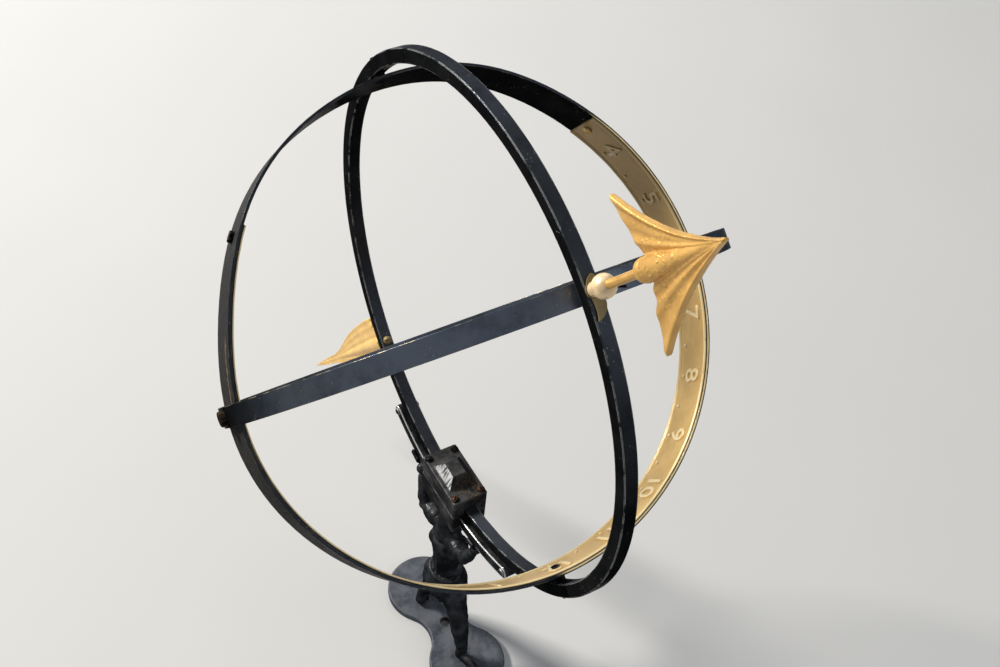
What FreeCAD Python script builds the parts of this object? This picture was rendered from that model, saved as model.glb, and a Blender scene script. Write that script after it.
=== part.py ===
"""Garden armillary sundial: three rings, an hour strip and an arrow gnomon on a cast figure stand.

Millimetres. The origin is on the ground, under the middle of the base plate. +Z is up, +Y is north
(the way the arrow points) and +X is east. The sphere is drawn in its own polar frame and then tilted:
X is east, Y runs along the polar axis to the arrowhead, and Z points to the noon side's opposite.
"""
import FreeCAD, Part
import math
import os
from FreeCAD import Vector

# ---- driving dimensions ----
LATITUDE = 51.0             # tilt of the polar axis above the horizon, degrees
CENTRE_HEIGHT = 390.0       # centre of the sphere above the ground

RING_R = 190.0              # meridian ring, outer radius
RING_BAR = 10.0             # its radial thickness
RING_WIDTH = 9.5            # its width along the east axis

COLURE_R = 179.8            # six-o'clock ring, outer radius
COLURE_BAR = 2.5
COLURE_WIDTH = 13.5
COLURE_SQUASH = 7.5         # how far its east side is pressed in

BAND_R = 173.3              # equatorial band, outer radius
BAND_BAR = 2.0
BAND_WIDTH = 38.0
BAND_DENT = 9.5             # depth of the knock in its upper east side
BAND_DENT_AT = 22.0         # where the knock is, degrees from east towards the top
BAND_DENT_SPREAD = 28.0
BAND_BULGE = 3.8            # it stands out by this much past the top instead
BAND_BULGE_AT = 107.0
BAND_BULGE_SPREAD = 22.0

STRIP_BAR = 1.2             # hour strip, inside the band
STRIP_WIDTH = 37.6
STRIP_START = -219.5        # its morning end, degrees from east
STRIP_END = 41.0            # its evening end
STRIP_SCREW_INSET = 2.0     # end screws stand this many degrees in from the ends
STRIP_SCREW_LENGTH = 6.9

ROD_R = 2.65                # gnomon rod
ROD_HOLE_R = 2.72
ROD_SOUTH_END = -197.0
BALL_R = 7.1
BALL_CENTRE = 203.0
BALL_SEAT = 191.4           # foot of the ball's short neck
BALL_NECK_R = 4.4
TAB_THICKNESS = 1.0

HEAD_LIFT = 1.6             # the rod is bent up at the ball by this much, degrees
HEAD_TIP = 326.5            # arrowhead, along its own lifted axis
HEAD_BACK = 245.5           # back of its socket
# wings: halfway along the leading edge, then the wing tip, each as distance along the axis and out from it
UPPER_WING = ((282.5, 14.6), (244.6, 41.0))
LOWER_WING = ((281.5, 18.0), (242.5, 43.8))
WING_TRAIL = (248.0, 23.5)       # halfway along the trailing edge
WING_ROOT = (256.5, 5.5)
HEAD_THICKNESS = 3.4
SOCKET_R = 6.9

TAIL_OFFSET = 11.5          # tail vane, set above the pole
TAIL_FOOT = -190.3
TAIL_TIP = -415.0
TAIL_HALF_SPAN = 22.0
TAIL_THICKNESS = 3.0
TAIL_SOCKET_R = 5.4

SLIDE_GAP = 0.3             # clearance of the meridian ring in the clamp
ARC_BAR = 9.7               # cradle arc under the ring
ARC_HALF_WIDTH = 8.25
ARC_HALF_ANGLE = 25.6       # to the centre of its rounded ends, degrees

CLAMP_HALF_WIDTH = 14.5
CLAMP_HALF_LENGTH = 26.0
CLAMP_MIDDLE = -4.0         # the clamp sits a little south of the lowest point of the ring
CAP_TOP = -168.0            # heights measured from the sphere's centre
CLAMP_SPLIT = -186.0
CLAMP_GAP = 0.9             # left open between cap and body so that the screws can pinch the ring
CLAMP_BOTTOM = -205.0
CAP_BOSS_TOP = -158.6
CAP_SCREW_X = 11.0
CAP_SCREW_Y = 21.2
CAP_SCREW_R = 1.9

PLATE_THICKNESS = 6.0
PLATE_LOBE_R = 32.7
PLATE_LOBE_AT = 40.5        # lobe centres, north and south
PLATE_WAIST = 17.0          # half width at the middle
PLATE_HOLE_R = 4.7

NUT_FLAT = 9.0
NUT_HEIGHT = 4.0
SCREW_R = 2.0
JOINT_SCREW_END = 2.0       # how far the ring joint screws stand out of the ring
JOIN_GAP = 0.05             # assembly gap between fastened faces

EAST = Vector(1, 0, 0)
NORTH = Vector(0, 1, 0)
UP = Vector(0, 0, 1)
CENTRE = Vector(0, 0, CENTRE_HEIGHT)


# ---- helpers ----
def aimed(shape, base, direction, spin=0.0):
    """A shape drawn along +Z, spun about it, turned along direction and set at base."""
    turn = FreeCAD.Rotation(UP, Vector(direction)).multiply(FreeCAD.Rotation(UP, spin))
    placed = shape.copy()
    placed.Placement = FreeCAD.Placement(Vector(base), turn).multiply(placed.Placement)
    return placed


def compound(shapes):
    return shapes[0] if len(shapes) == 1 else Part.makeCompound(shapes)


def tilted(shape):
    """From the polar frame to the standing frame."""
    placed = shape.copy()
    placed.rotate(Vector(0, 0, 0), EAST, LATITUDE)
    placed.translate(CENTRE)
    return placed


def raised(shape):
    """From heights about the sphere's centre to heights above the ground."""
    placed = shape.copy()
    placed.translate(CENTRE)
    return placed


def rod_between(start, end, r_start, r_end=None):
    axis = Vector(end) - Vector(start)
    r_end = r_start if r_end is None else r_end
    if abs(r_start - r_end) < 1e-6:
        return Part.makeCylinder(r_start, axis.Length, Vector(start), axis)
    return Part.makeCone(r_start, r_end, axis.Length, Vector(start), axis)


def tube(r_outer, r_inner, half_width):
    """A flat ring about the east axis."""
    outer = Part.makeCylinder(r_outer, 2 * half_width, Vector(-half_width, 0, 0), EAST)
    inner = Part.makeCylinder(r_inner, 2 * half_width + 2, Vector(-half_width - 1, 0, 0), EAST)
    return outer.cut(inner)


def hex_prism(flat, height):
    corner = flat / math.sqrt(3)
    points = [Vector(corner * math.cos(math.radians(60 * i)), corner * math.sin(math.radians(60 * i)), 0)
              for i in range(7)]
    return Part.Face(Part.makePolygon(points)).extrude(Vector(0, 0, height))


def hex_nut(flat, height, hole_r):
    """A nut with chamfered corners and a round hole, along +Z from 0."""
    dome = Part.makeCone(flat * 0.5 + 0.15 + height * 1.7, flat * 0.5 + 0.15, height * 1.7)
    dome.translate(Vector(0, 0, -height * 0.7))
    return hex_prism(flat, height).common(dome).cut(Part.makeCylinder(hole_r, height + 2, Vector(0, 0, -1)))


def hex_bolt(flat, head, shank_r, length):
    """Hex head from 0 to head, shank from 0 down to -length."""
    dome = Part.makeCone(flat * 0.5 + 0.15 + head * 1.7, flat * 0.5 + 0.15, head * 1.7)
    dome.translate(Vector(0, 0, -head * 0.7))
    shank = Part.makeCylinder(shank_r, length, Vector(0, 0, -length))
    return hex_prism(flat, head).common(dome).fuse(shank)


def slotted_screw(head_r, head_h, shank_r, length):
    """Round slotted head from 0 up to head_h, shank from 0 down to -length."""
    ball_r = (head_r ** 2 + head_h ** 2) / (2 * head_h)
    ball = Part.makeSphere(ball_r, Vector(0, 0, head_h - ball_r))
    upper = Part.makeBox(4 * head_r, 4 * head_r, head_h + 1, Vector(-2 * head_r, -2 * head_r, 0))
    head = ball.common(upper)
    slot = Part.makeBox(4 * head_r, head_r * 0.3, head_h, Vector(-2 * head_r, -head_r * 0.15, head_h * 0.5))
    return head.cut(slot).fuse(Part.makeCylinder(shank_r, length, Vector(0, 0, -length)))


def radial(angle_deg, radius, y=0.0):
    """A point of the polar frame at an angle from east towards the top, about the polar axis."""
    a = math.radians(angle_deg)
    return Vector(radius * math.cos(a), y, radius * math.sin(a))


# ---- out-of-round outlines ----
def swell(angle_deg, middle, spread):
    off = (angle_deg - middle + 180.0) % 360.0 - 180.0
    return math.exp(-(off / spread) ** 2)


def band_outer(angle_deg):
    dent = BAND_DENT * swell(angle_deg, BAND_DENT_AT, BAND_DENT_SPREAD)
    return BAND_R - dent + BAND_BULGE * swell(angle_deg, BAND_BULGE_AT, BAND_BULGE_SPREAD)


def colure_outer(angle_deg):
    """Angle from east towards north."""
    return COLURE_R - COLURE_SQUASH * max(0.0, math.cos(math.radians(angle_deg))) ** 2


def band_normal(angle_deg):
    """The outward direction square to the band's face, as an angle."""
    rise = band_outer(angle_deg + 0.5) - band_outer(angle_deg - 0.5)
    return angle_deg - math.degrees(math.atan(rise / math.radians(1.0) / band_outer(angle_deg)))


def closed_face(point_at, steps=48):
    curve = Part.BSplineCurve()
    curve.interpolate([point_at(360.0 * i / steps) for i in range(steps)], PeriodicFlag=True)
    return Part.Face(Part.Wire([curve.toShape()]))


def band_arc(start_deg, end_deg, depth_out, depth_in, width):
    """A curved strip that follows the band, between two depths inside its outer face."""
    steps = 40
    angles = [start_deg + (end_deg - start_deg) * i / steps for i in range(steps + 1)]
    sides = []
    for depth in (depth_out, depth_in):
        curve = Part.BSplineCurve()
        curve.interpolate([radial(a, band_outer(a) - depth, -width / 2) for a in angles])
        sides.append(curve)
    ends = [Part.LineSegment(sides[0].value(p), sides[1].value(q)).toShape()
            for p, q in ((sides[0].FirstParameter, sides[1].FirstParameter),
                         (sides[0].LastParameter, sides[1].LastParameter))]
    wire = Part.Wire(Part.__sortEdges__([sides[0].toShape(), ends[1], sides[1].toShape(), ends[0]]))
    return Part.Face(wire).extrude(Vector(0, width, 0))


# ---- places of the fastenings in the polar frame ----
STRIP_SCREWS_AT = (STRIP_START + STRIP_SCREW_INSET, STRIP_END - STRIP_SCREW_INSET)
RING_CROSSINGS = (90.0, -90.0)
COLURE_CROSSINGS = (0.0, 180.0)
BAND_HOLE_R = SCREW_R + 0.1


def band_holes():
    crossings = RING_CROSSINGS + COLURE_CROSSINGS
    holes = [rod_between(radial(a, 150), radial(a, 200), BAND_HOLE_R) for a in crossings]
    for a in STRIP_SCREWS_AT:
        place, out = radial(a, band_outer(a)), radial(band_normal(a), 15.0)
        holes.append(rod_between(place - out, place + out, BAND_HOLE_R))
    return holes


# ---- the sphere ----
def meridian_ring():
    ring = tube(RING_R, RING_R - RING_BAR, RING_WIDTH / 2)
    ring = ring.makeChamfer(0.5, [e for e in ring.Edges if e.Length > 100])
    for angle in RING_CROSSINGS:
        ring = ring.cut(rod_between(radial(angle, 170), radial(angle, 195), BAND_HOLE_R))
    ring = ring.cut(rod_between((0, -200, 0), (0, 200, 0), ROD_HOLE_R))
    return ring.cut(rod_between((0, -200, TAIL_OFFSET), (0, -170, TAIL_OFFSET), BAND_HOLE_R))


def equatorial_band():
    faces = [closed_face(lambda a, d=depth: radial(a, band_outer(a) - d, -BAND_WIDTH / 2))
             for depth in (0.0, BAND_BAR)]
    band = faces[0].cut(faces[1]).Faces[0].extrude(Vector(0, BAND_WIDTH, 0))
    for hole in band_holes():
        band = band.cut(hole)
    return band


def colure_ring():
    def at(angle, depth):
        r = colure_outer(angle) - depth
        a = math.radians(angle)
        return Vector(r * math.cos(a), r * math.sin(a), -COLURE_WIDTH / 2)
    faces = [closed_face(lambda a, d=depth: at(a, d)) for depth in (0.0, COLURE_BAR)]
    ring = faces[0].cut(faces[1]).Faces[0].extrude(Vector(0, 0, COLURE_WIDTH))
    ring = ring.cut(rod_between((-200, 0, 0), (200, 0, 0), BAND_HOLE_R))
    return ring.cut(rod_between((0, -200, 0), (0, 200, 0), ROD_HOLE_R))


def hour_strip():
    back = BAND_BAR + JOIN_GAP
    strip = band_arc(STRIP_START, STRIP_END, back, back + STRIP_BAR, STRIP_WIDTH)
    for hole in band_holes():
        strip = strip.cut(hole)
    return strip


def inward_screw(angle, seat_depth, length, head_r=3.2, head_h=2.2):
    """A round-head screw with its head inside the band, pointing outward."""
    seat = radial(angle, band_outer(angle)) - radial(band_normal(angle), seat_depth)
    screw = slotted_screw(head_r, head_h, SCREW_R, length)
    return aimed(screw, seat, radial(band_normal(angle), -1.0), spin=35.0)


STRIP_FACE = BAND_BAR + STRIP_BAR + 2 * JOIN_GAP + 0.25


def strip_end_screws():
    return compound([inward_screw(a, STRIP_FACE, STRIP_SCREW_LENGTH) for a in STRIP_SCREWS_AT])


def strip_end_nuts():
    nuts = []
    for angle in STRIP_SCREWS_AT:
        seat = radial(angle, band_outer(angle)) + radial(band_normal(angle), 0.1)
        nuts.append(aimed(hex_nut(7.0, 3.0, SCREW_R), seat, radial(band_normal(angle), 1.0)))
    return compound(nuts)


def ring_joint_screws():
    """Flat-headed screws from inside the band, which end a little outside the meridian ring."""
    screws = []
    for angle in RING_CROSSINGS:
        depth = STRIP_FACE if angle < 0 else BAND_BAR + 0.3
        seat = band_outer(angle) - depth
        length = RING_R + JOINT_SCREW_END - seat
        screw = slotted_screw(3.7, 1.1, SCREW_R, length)
        screws.append(aimed(screw, radial(angle, seat), radial(angle, -1.0), spin=20.0))
    return compound(screws)


def ring_joint_spacers():
    spacers = []
    for angle in RING_CROSSINGS:
        low = band_outer(angle) + 1.35
        high = RING_R - RING_BAR - 0.15
        post = Part.makeCylinder(4.2, high - low).cut(Part.makeCylinder(SCREW_R, high - low))
        spacers.append(aimed(post, radial(angle, low), radial(angle, 1.0)))
    return compound(spacers)


def ring_joint_washers():
    """Thin washers between the spacers and the band."""
    washers = []
    for angle in RING_CROSSINGS:
        disc = Part.makeCylinder(5.6, 1.0).cut(Part.makeCylinder(SCREW_R, 1.0))
        washers.append(aimed(disc, radial(angle, band_outer(angle) + 0.3), radial(angle, 1.0)))
    return compound(washers)


def colure_bolts():
    """Hex bolts outside the east and west crossings."""
    bolts = []
    for angle, turn in ((0.0, 0.0), (180.0, 180.0)):
        seat = radial(angle, colure_outer(turn) + 0.15)
        reach = colure_outer(turn) - band_outer(angle) + 8.5
        bolt = hex_bolt(NUT_FLAT, NUT_HEIGHT, SCREW_R, reach)
        bolts.append(aimed(bolt, seat, radial(angle, 1.0), spin=12.0))
    return compound(bolts)


def colure_nuts():
    nuts = []
    for angle, slant in ((0.0, 0.4), (180.0, 0.0)):
        seat = radial(angle, band_outer(angle) - STRIP_FACE - slant)
        nuts.append(aimed(hex_nut(7.0, 3.0, SCREW_R), seat, radial(angle, -1.0), spin=30.0))
    return compound(nuts)


def colure_spacer():
    low = band_outer(180.0) + 0.15
    high = COLURE_R - COLURE_BAR - 0.15
    post = Part.makeCylinder(4.2, high - low).cut(Part.makeCylinder(SCREW_R, high - low))
    return aimed(post, radial(180.0, low), radial(180.0, 1.0))


# ---- the arrow ----
def lifted(shape):
    """From the straight polar axis to the bent outer end of the rod."""
    placed = shape.copy()
    placed.rotate(Vector(0, BALL_CENTRE, 0), EAST, HEAD_LIFT)
    return placed


def bent_bar(radius, start, end):
    """A round bar along the polar axis that bends up inside the ball."""
    inner = rod_between((0, start, 0), (0, BALL_CENTRE, 0), radius)
    outer = lifted(rod_between((0, BALL_CENTRE, 0), (0, end, 0), radius))
    knuckle = Part.makeSphere(radius * 1.002, Vector(0, BALL_CENTRE, 0))
    return inner.fuse([outer, knuckle])


def gnomon_rod():
    rod = bent_bar(ROD_R, ROD_SOUTH_END, HEAD_BACK + 20)
    return rod.cut(pin_solid(0.0))


def pin_solid(gap=0.04):
    """The split pin that crosses the ball and the rod."""
    lean = Vector(-0.95, 0, -0.31).normalize()
    start = Vector(0, BALL_CENTRE, 0) - lean * 5.0
    return rod_between(start, start + lean * 18.0, 0.8 - gap)


def split_pin():
    return pin_solid()


def arrow_ball():
    """A ball with a short neck that stands on the washer."""
    ball = Part.makeSphere(BALL_R, Vector(0, BALL_CENTRE, 0), NORTH)
    ball = ball.fuse(rod_between((0, BALL_SEAT, 0), (0, BALL_CENTRE - 2, 0), BALL_NECK_R))
    ball = ball.cut(bent_bar(ROD_HOLE_R, 180, BALL_CENTRE + 13))
    return ball.cut(pin_solid(0.0))


def leaf_face(outline):
    """A leaf in the plane across the polar axis, from two arcs that meet at its point."""
    base, left, far, right, back = [Vector(x, 0, z) for x, z in outline]
    sides = [Part.Arc(base, left, far).toShape(), Part.Arc(far, right, back).toShape()]
    return Part.Face(Part.Wire(sides + [Part.LineSegment(back, base).toShape()]))


UPPER_LEAF = ((-3.6, 2.0), (-4.0, 5.4), (-1.6, 8.8), (2.3, 5.8), (3.6, 2.0))
LOWER_LEAF = ((-3.4, -2.4), (-4.3, -9.8), (3.5, -16.9), (2.4, -11.0), (3.6, -2.4))


def tab_washer():
    """A thin lock washer between the ring and the ball, with a short tab and a long one."""
    low = RING_R + 0.2
    disc = Part.makeCylinder(5.0, TAB_THICKNESS, Vector(0, low, 0), NORTH)
    for outline in (UPPER_LEAF, LOWER_LEAF):
        leaf = leaf_face(outline).extrude(Vector(0, TAB_THICKNESS, 0))
        leaf.translate(Vector(0, low, 0))
        disc = disc.fuse(leaf)
    return disc.removeSplitter().cut(rod_between((0, 185, 0), (0, 200, 0), ROD_HOLE_R))


def pole_nuts():
    """Nuts on the rod inside both poles, and outside the south pole."""
    inner = COLURE_R - COLURE_BAR - 0.2
    north = aimed(hex_nut(NUT_FLAT, NUT_HEIGHT, ROD_HOLE_R), (0, inner, 0), (0, -1, 0))
    south = aimed(hex_nut(NUT_FLAT, NUT_HEIGHT, ROD_HOLE_R), (0, -inner, 0), NORTH)
    outside = aimed(hex_nut(NUT_FLAT, NUT_HEIGHT, ROD_HOLE_R), (0, -RING_R - 0.15, 0), (0, -1, 0))
    return compound([north, south, outside])


def wing_outline(stops, side):
    """Edges of one half of the arrowhead, from the tip round to the socket."""
    tip = Vector(0, HEAD_TIP, 0)
    halfway, wing, trail, root = [Vector(0, p, side * h) for p, h in stops + (WING_TRAIL, WING_ROOT)]
    return [Part.Arc(tip, halfway, wing).toShape(), Part.Arc(wing, trail, root).toShape()], root


def arrowhead():
    """A cast head with two swept wings and a conical socket for the rod."""
    upper, upper_root = wing_outline(UPPER_WING, 1)
    lower, lower_root = wing_outline(LOWER_WING, -1)
    edges = upper + [Part.LineSegment(upper_root, lower_root).toShape()] + lower
    plate = Part.Face(Part.Wire(Part.__sortEdges__(edges))).extrude(Vector(HEAD_THICKNESS, 0, 0))
    plate.translate(Vector(-HEAD_THICKNESS / 2, 0, 0))
    barrel = rod_between((0, HEAD_BACK + 5, 0), (0, HEAD_BACK + 15, 0), SOCKET_R)
    cone = rod_between((0, HEAD_BACK + 15, 0), (0, HEAD_TIP - 5, 0), SOCKET_R, 0.9)
    dome = Part.makeSphere(SOCKET_R * 1.004, Vector(0, HEAD_BACK + 5.6, 0))
    dome = dome.common(Part.makeBox(40, 20, 40, Vector(-20, HEAD_BACK - 10 + 0.2, -20)))
    head = plate.fuse([barrel, cone, dome]).removeSplitter()
    return lifted(head.cut(rod_between((0, HEAD_BACK - 20, 0), (0, HEAD_BACK + 20.2, 0), ROD_HOLE_R)))


def tail_edges(side):
    """Edges of one half of the tail vane, from its tip round to the socket."""
    tip = Vector(0, TAIL_TIP, 0)
    neck = Vector(0, TAIL_TIP + 82, side * 4.0)
    shoulder = Vector(0, TAIL_TIP + 208, side * TAIL_HALF_SPAN)
    slim = Part.Arc(tip, Vector(0, TAIL_TIP + 42, side * 3.2), neck).toShape()
    sweep = Part.Arc(neck, Vector(0, TAIL_TIP + 140, side * 17.0), shoulder).toShape()
    foot = Vector(0, TAIL_FOOT - 6, side * 4.0)
    heel = Part.Arc(shoulder, Vector(0, TAIL_FOOT - 12.5, side * 12.0), foot).toShape()
    return [slim, sweep, heel], foot


def tail_vane():
    """A leaf-shaped cast tail on a conical socket that stands on the ring."""
    upper, upper_foot = tail_edges(1)
    lower, lower_foot = tail_edges(-1)
    edges = upper + [Part.LineSegment(upper_foot, lower_foot).toShape()] + lower
    plate = Part.Face(Part.Wire(Part.__sortEdges__(edges))).extrude(Vector(TAIL_THICKNESS, 0, 0))
    plate.translate(Vector(-TAIL_THICKNESS / 2, 0, 0))
    cone = rod_between((0, TAIL_FOOT, 0), (0, TAIL_TIP + 90, 0), TAIL_SOCKET_R, 2.0)
    bead = Part.makeSphere(2.0, Vector(0, TAIL_TIP + 90, 0))
    vane = plate.fuse([cone, bead]).removeSplitter()
    vane = vane.cut(rod_between((0, TAIL_FOOT + 1, 0), (0, TAIL_FOOT - 14, 0), SCREW_R))
    vane.translate(Vector(0, 0, TAIL_OFFSET))
    return vane


def tail_stud():
    """A screw from inside the ring into the tail's socket, with its round head inside."""
    screw = slotted_screw(3.4, 3.2, SCREW_R - 0.02, RING_BAR + 12.0)
    seat = Vector(0, -math.sqrt((RING_R - RING_BAR) ** 2 - TAIL_OFFSET ** 2) + 0.5, TAIL_OFFSET)
    return aimed(screw, seat, NORTH)


# ---- clamp and cradle, in heights about the sphere's centre ----
def ring_channel(r_low, r_high, half_width):
    return tube(r_high, r_low, half_width)


def clamp_block(z_low, z_high):
    return Part.makeBox(2 * CLAMP_HALF_WIDTH, 2 * CLAMP_HALF_LENGTH, z_high - z_low,
                        Vector(-CLAMP_HALF_WIDTH, CLAMP_MIDDLE - CLAMP_HALF_LENGTH, z_low))


def edges_at(shape, height):
    def level(box):
        return abs(box.ZMin - height) < 0.01 and abs(box.ZMax - height) < 0.01
    return [e for e in shape.Edges if level(e.BoundBox)]


def upright_edges(shape):
    return [e for e in shape.Edges if e.BoundBox.ZLength > 5]


def screw_places():
    return [Vector(x, CLAMP_MIDDLE + y, CAP_TOP) for x in (-CAP_SCREW_X, CAP_SCREW_X)
            for y in (-CAP_SCREW_Y, CAP_SCREW_Y)]


def clamp_cap():
    """A bridge over the ring with a hipped boss on its back."""
    cap = clamp_block(CLAMP_SPLIT + CLAMP_GAP / 2, CAP_TOP)
    cap = cap.makeFillet(1.6, upright_edges(cap))
    cap = cap.makeChamfer(0.5, edges_at(cap, CLAMP_SPLIT + CLAMP_GAP / 2))
    cap = cap.makeFillet(1.2, edges_at(cap, CAP_TOP))
    base = rectangle(-11.6, 11.8, -18.5, 9.5, CAP_TOP - 1.0)
    top = rectangle(-4.8, 6.2, -10.0, 3.6, CAP_BOSS_TOP)
    cap = cap.fuse(Part.makeLoft([base, top], True)).removeSplitter()
    cap = cap.cut(ring_channel(RING_R - RING_BAR - SLIDE_GAP, 215, RING_WIDTH / 2 + SLIDE_GAP))
    for place in screw_places():
        cap = cap.cut(rod_between(place + UP * 2, place - UP * 30, CAP_SCREW_R + 0.15))
    return cap


def rectangle(x_low, x_high, y_low, y_high, z):
    corners = [Vector(x_low, y_low, z), Vector(x_high, y_low, z), Vector(x_high, y_high, z),
               Vector(x_low, y_high, z), Vector(x_low, y_low, z)]
    return Part.makePolygon(corners)


def clamp_body():
    """The lower half of the clamp, grooved for the ring and the cradle arc."""
    body = clamp_block(CLAMP_BOTTOM, CLAMP_SPLIT - CLAMP_GAP / 2)
    body = body.makeFillet(1.6, upright_edges(body))
    body = body.makeChamfer(0.5, edges_at(body, CLAMP_SPLIT - CLAMP_GAP / 2))
    body = body.makeFillet(1.5, edges_at(body, CLAMP_BOTTOM))
    body = body.cut(ring_channel(150, ARC_INNER + 0.5, RING_WIDTH / 2 + SLIDE_GAP))
    body = body.cut(ring_channel(ARC_INNER - 0.2, ARC_OUTER + JOIN_GAP, ARC_HALF_WIDTH + JOIN_GAP))
    for place in screw_places():
        body = body.cut(rod_between(place, Vector(place.x, place.y, CLAMP_BOTTOM + 3), CAP_SCREW_R + 0.03))
    return body.cut(Part.makeCylinder(STUD_R + 0.03, 4.6, Vector(0, 0, CLAMP_BOTTOM - 1)))


def cap_screws():
    screws = [aimed(slotted_screw(3.3, 2.4, CAP_SCREW_R, 32.0), place + UP * 0.02, UP, spin=angle)
              for place, angle in zip(screw_places(), (10.0, 65.0, -25.0, 40.0))]
    return compound(screws)


ARC_INNER = RING_R + SLIDE_GAP
ARC_OUTER = ARC_INNER + ARC_BAR
ARC_MIDDLE = (ARC_INNER + ARC_OUTER) / 2
STUD_R = 4.0


def arc_end(angle_deg):
    """Centre of a rounded end of the cradle arc, measured from straight down towards north."""
    a = math.radians(angle_deg)
    return Vector(0, ARC_MIDDLE * math.sin(a), -ARC_MIDDLE * math.cos(a))


def cradle_arc():
    """A curved bar under the ring, held in the clamp, with rounded ends."""
    a = math.radians(ARC_HALF_ANGLE)
    reach = 2 * ARC_OUTER
    wedge = Part.Face(Part.makePolygon([Vector(-20, 0, 0),
                                        Vector(-20, reach * math.sin(a), -reach * math.cos(a)),
                                        Vector(-20, -reach * math.sin(a), -reach * math.cos(a)),
                                        Vector(-20, 0, 0)])).extrude(Vector(40, 0, 0))
    arc = tube(ARC_OUTER, ARC_INNER, ARC_HALF_WIDTH).common(wedge)
    for angle in (-ARC_HALF_ANGLE, ARC_HALF_ANGLE):
        start = arc_end(angle) - EAST * ARC_HALF_WIDTH
        arc = arc.fuse(Part.makeCylinder(ARC_BAR / 2, 2 * ARC_HALF_WIDTH, start, EAST))
    arc = arc.removeSplitter()
    for angle in (-ARC_HALF_ANGLE, ARC_HALF_ANGLE):
        start = arc_end(angle) - EAST * 20
        arc = arc.cut(Part.makeCylinder(1.8, 40, start, EAST))
    return arc


def cradle_rivets():
    """A round-headed rivet across each end of the cradle arc."""
    rivets = []
    for angle in (-ARC_HALF_ANGLE, ARC_HALF_ANGLE):
        middle = arc_end(angle)
        pin = Part.makeCylinder(1.75, 2 * ARC_HALF_WIDTH + 1, middle - EAST * (ARC_HALF_WIDTH + 0.5), EAST)
        for side in (-1, 1):
            head = Part.makeSphere(3.4, Vector(0, 0, -1.4))
            head = head.common(Part.makeBox(10, 10, 5, Vector(-5, -5, 0)))
            pin = pin.fuse(aimed(head, middle + EAST * side * (ARC_HALF_WIDTH + 0.03), EAST * side))
        rivets.append(pin)
    return compound(rivets)


# ---- stand ----
def base_plate():
    """Two round lobes joined by a hollowed waist."""
    reach = PLATE_LOBE_AT ** 2 + PLATE_WAIST ** 2 - PLATE_LOBE_R ** 2
    hollow = reach / (2 * (PLATE_LOBE_R - PLATE_WAIST))
    plate = Part.makeBox(2 * PLATE_WAIST + 2 * hollow, 2 * PLATE_LOBE_AT, PLATE_THICKNESS,
                         Vector(-PLATE_WAIST - hollow, -PLATE_LOBE_AT, 0))
    hull_x = (PLATE_WAIST + hollow) * PLATE_LOBE_R / (PLATE_LOBE_R + hollow)
    hull_y = PLATE_LOBE_AT * hollow / (PLATE_LOBE_R + hollow)
    waist = Part.makeBox(2 * hull_x, 2 * hull_y, PLATE_THICKNESS, Vector(-hull_x, -hull_y, 0))
    plate = plate.common(waist)
    for side in (-1, 1):
        middle = Vector(0, side * PLATE_LOBE_AT, 0)
        plate = plate.fuse(Part.makeCylinder(PLATE_LOBE_R, PLATE_THICKNESS, middle))
    for side in (-1, 1):
        plate = plate.cut(Part.makeCylinder(hollow, PLATE_THICKNESS + 2,
                                            Vector(side * (PLATE_WAIST + hollow), 0, -1)))
    plate = plate.removeSplitter()
    top = [e for e in plate.Edges if e.BoundBox.ZMin > PLATE_THICKNESS - 0.01]
    plate = plate.makeFillet(1.5, top)
    plate = plate.cut(Part.makeCylinder(PLATE_HOLE_R, PLATE_THICKNESS + 2, Vector(0, 0, -1)))
    for foot in FOOT_SCREWS:
        plate = plate.cut(countersunk(foot, 0.3))
    return plate


FOOT_SCREWS = (Vector(1, 36, 0), Vector(4, -29, 0))


def countersunk(place, gap):
    """A countersunk screw's solid, head flush with the underside, pointing up into a foot."""
    lip = Part.makeCylinder(4.2 + gap, 0.25 + gap, place + UP * (0.05 - gap))
    head = Part.makeCone(4.2 + gap, SCREW_R + gap, 2.4, place + UP * 0.3)
    return lip.fuse([head, Part.makeCylinder(SCREW_R + gap, 12.0, place + UP * 0.3)])


def foot_screws():
    return compound([countersunk(foot, 0.0) for foot in FOOT_SCREWS])


HIP_N, HIP_S = Vector(3, 9, 88), Vector(4, -8, 88)
KNEE_N, KNEE_S = Vector(-4, 33, 57), Vector(-3, -21, 50)
ANKLE_N, ANKLE_S = Vector(3, 37, 17), Vector(6, -29, 17)
HEEL_N, HEEL_S = Vector(6, 36, 10.5), Vector(9, -28, 10.5)
TOE_N, TOE_S = Vector(2, 46, 9.5), Vector(-6, -38, 9.5)
WAIST, CHEST = Vector(4, 0, 104), Vector(4, -1, 134)
SHOULDER_N, SHOULDER_S = Vector(4, 12, 149), Vector(5, -17, 148)
ELBOW_N, ELBOW_S = Vector(5, 29, 157), Vector(6, -35, 147)
HAND_N, HAND_S = Vector(3, 40, 183), Vector(4, -48, 184)
NECK, SKULL = Vector(1, -1, 154), Vector(-11, -1, 168)
PAD_R = 9.0

# each limb: the joints it runs through and the radius at each
LIMBS = (
    ((HIP_N, KNEE_N, ANKLE_N, HEEL_N, TOE_N), (10.5, 7.0, 4.4, 4.9, 3.6)),
    ((HIP_S, KNEE_S, ANKLE_S, HEEL_S, TOE_S), (10.7, 7.0, 4.4, 4.9, 3.6)),
    ((WAIST, CHEST), (12.0, 15.0)),
    ((SHOULDER_N, ELBOW_N, HAND_N), (8.6, 5.6, 4.9)),
    ((SHOULDER_S, ELBOW_S, HAND_S), (8.6, 5.6, 4.9)),
    ((NECK, SKULL), (7.0, 9.5)),
)
BALL_SWELL = 1.05           # joints stand a little proud of the limbs that meet in them


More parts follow.
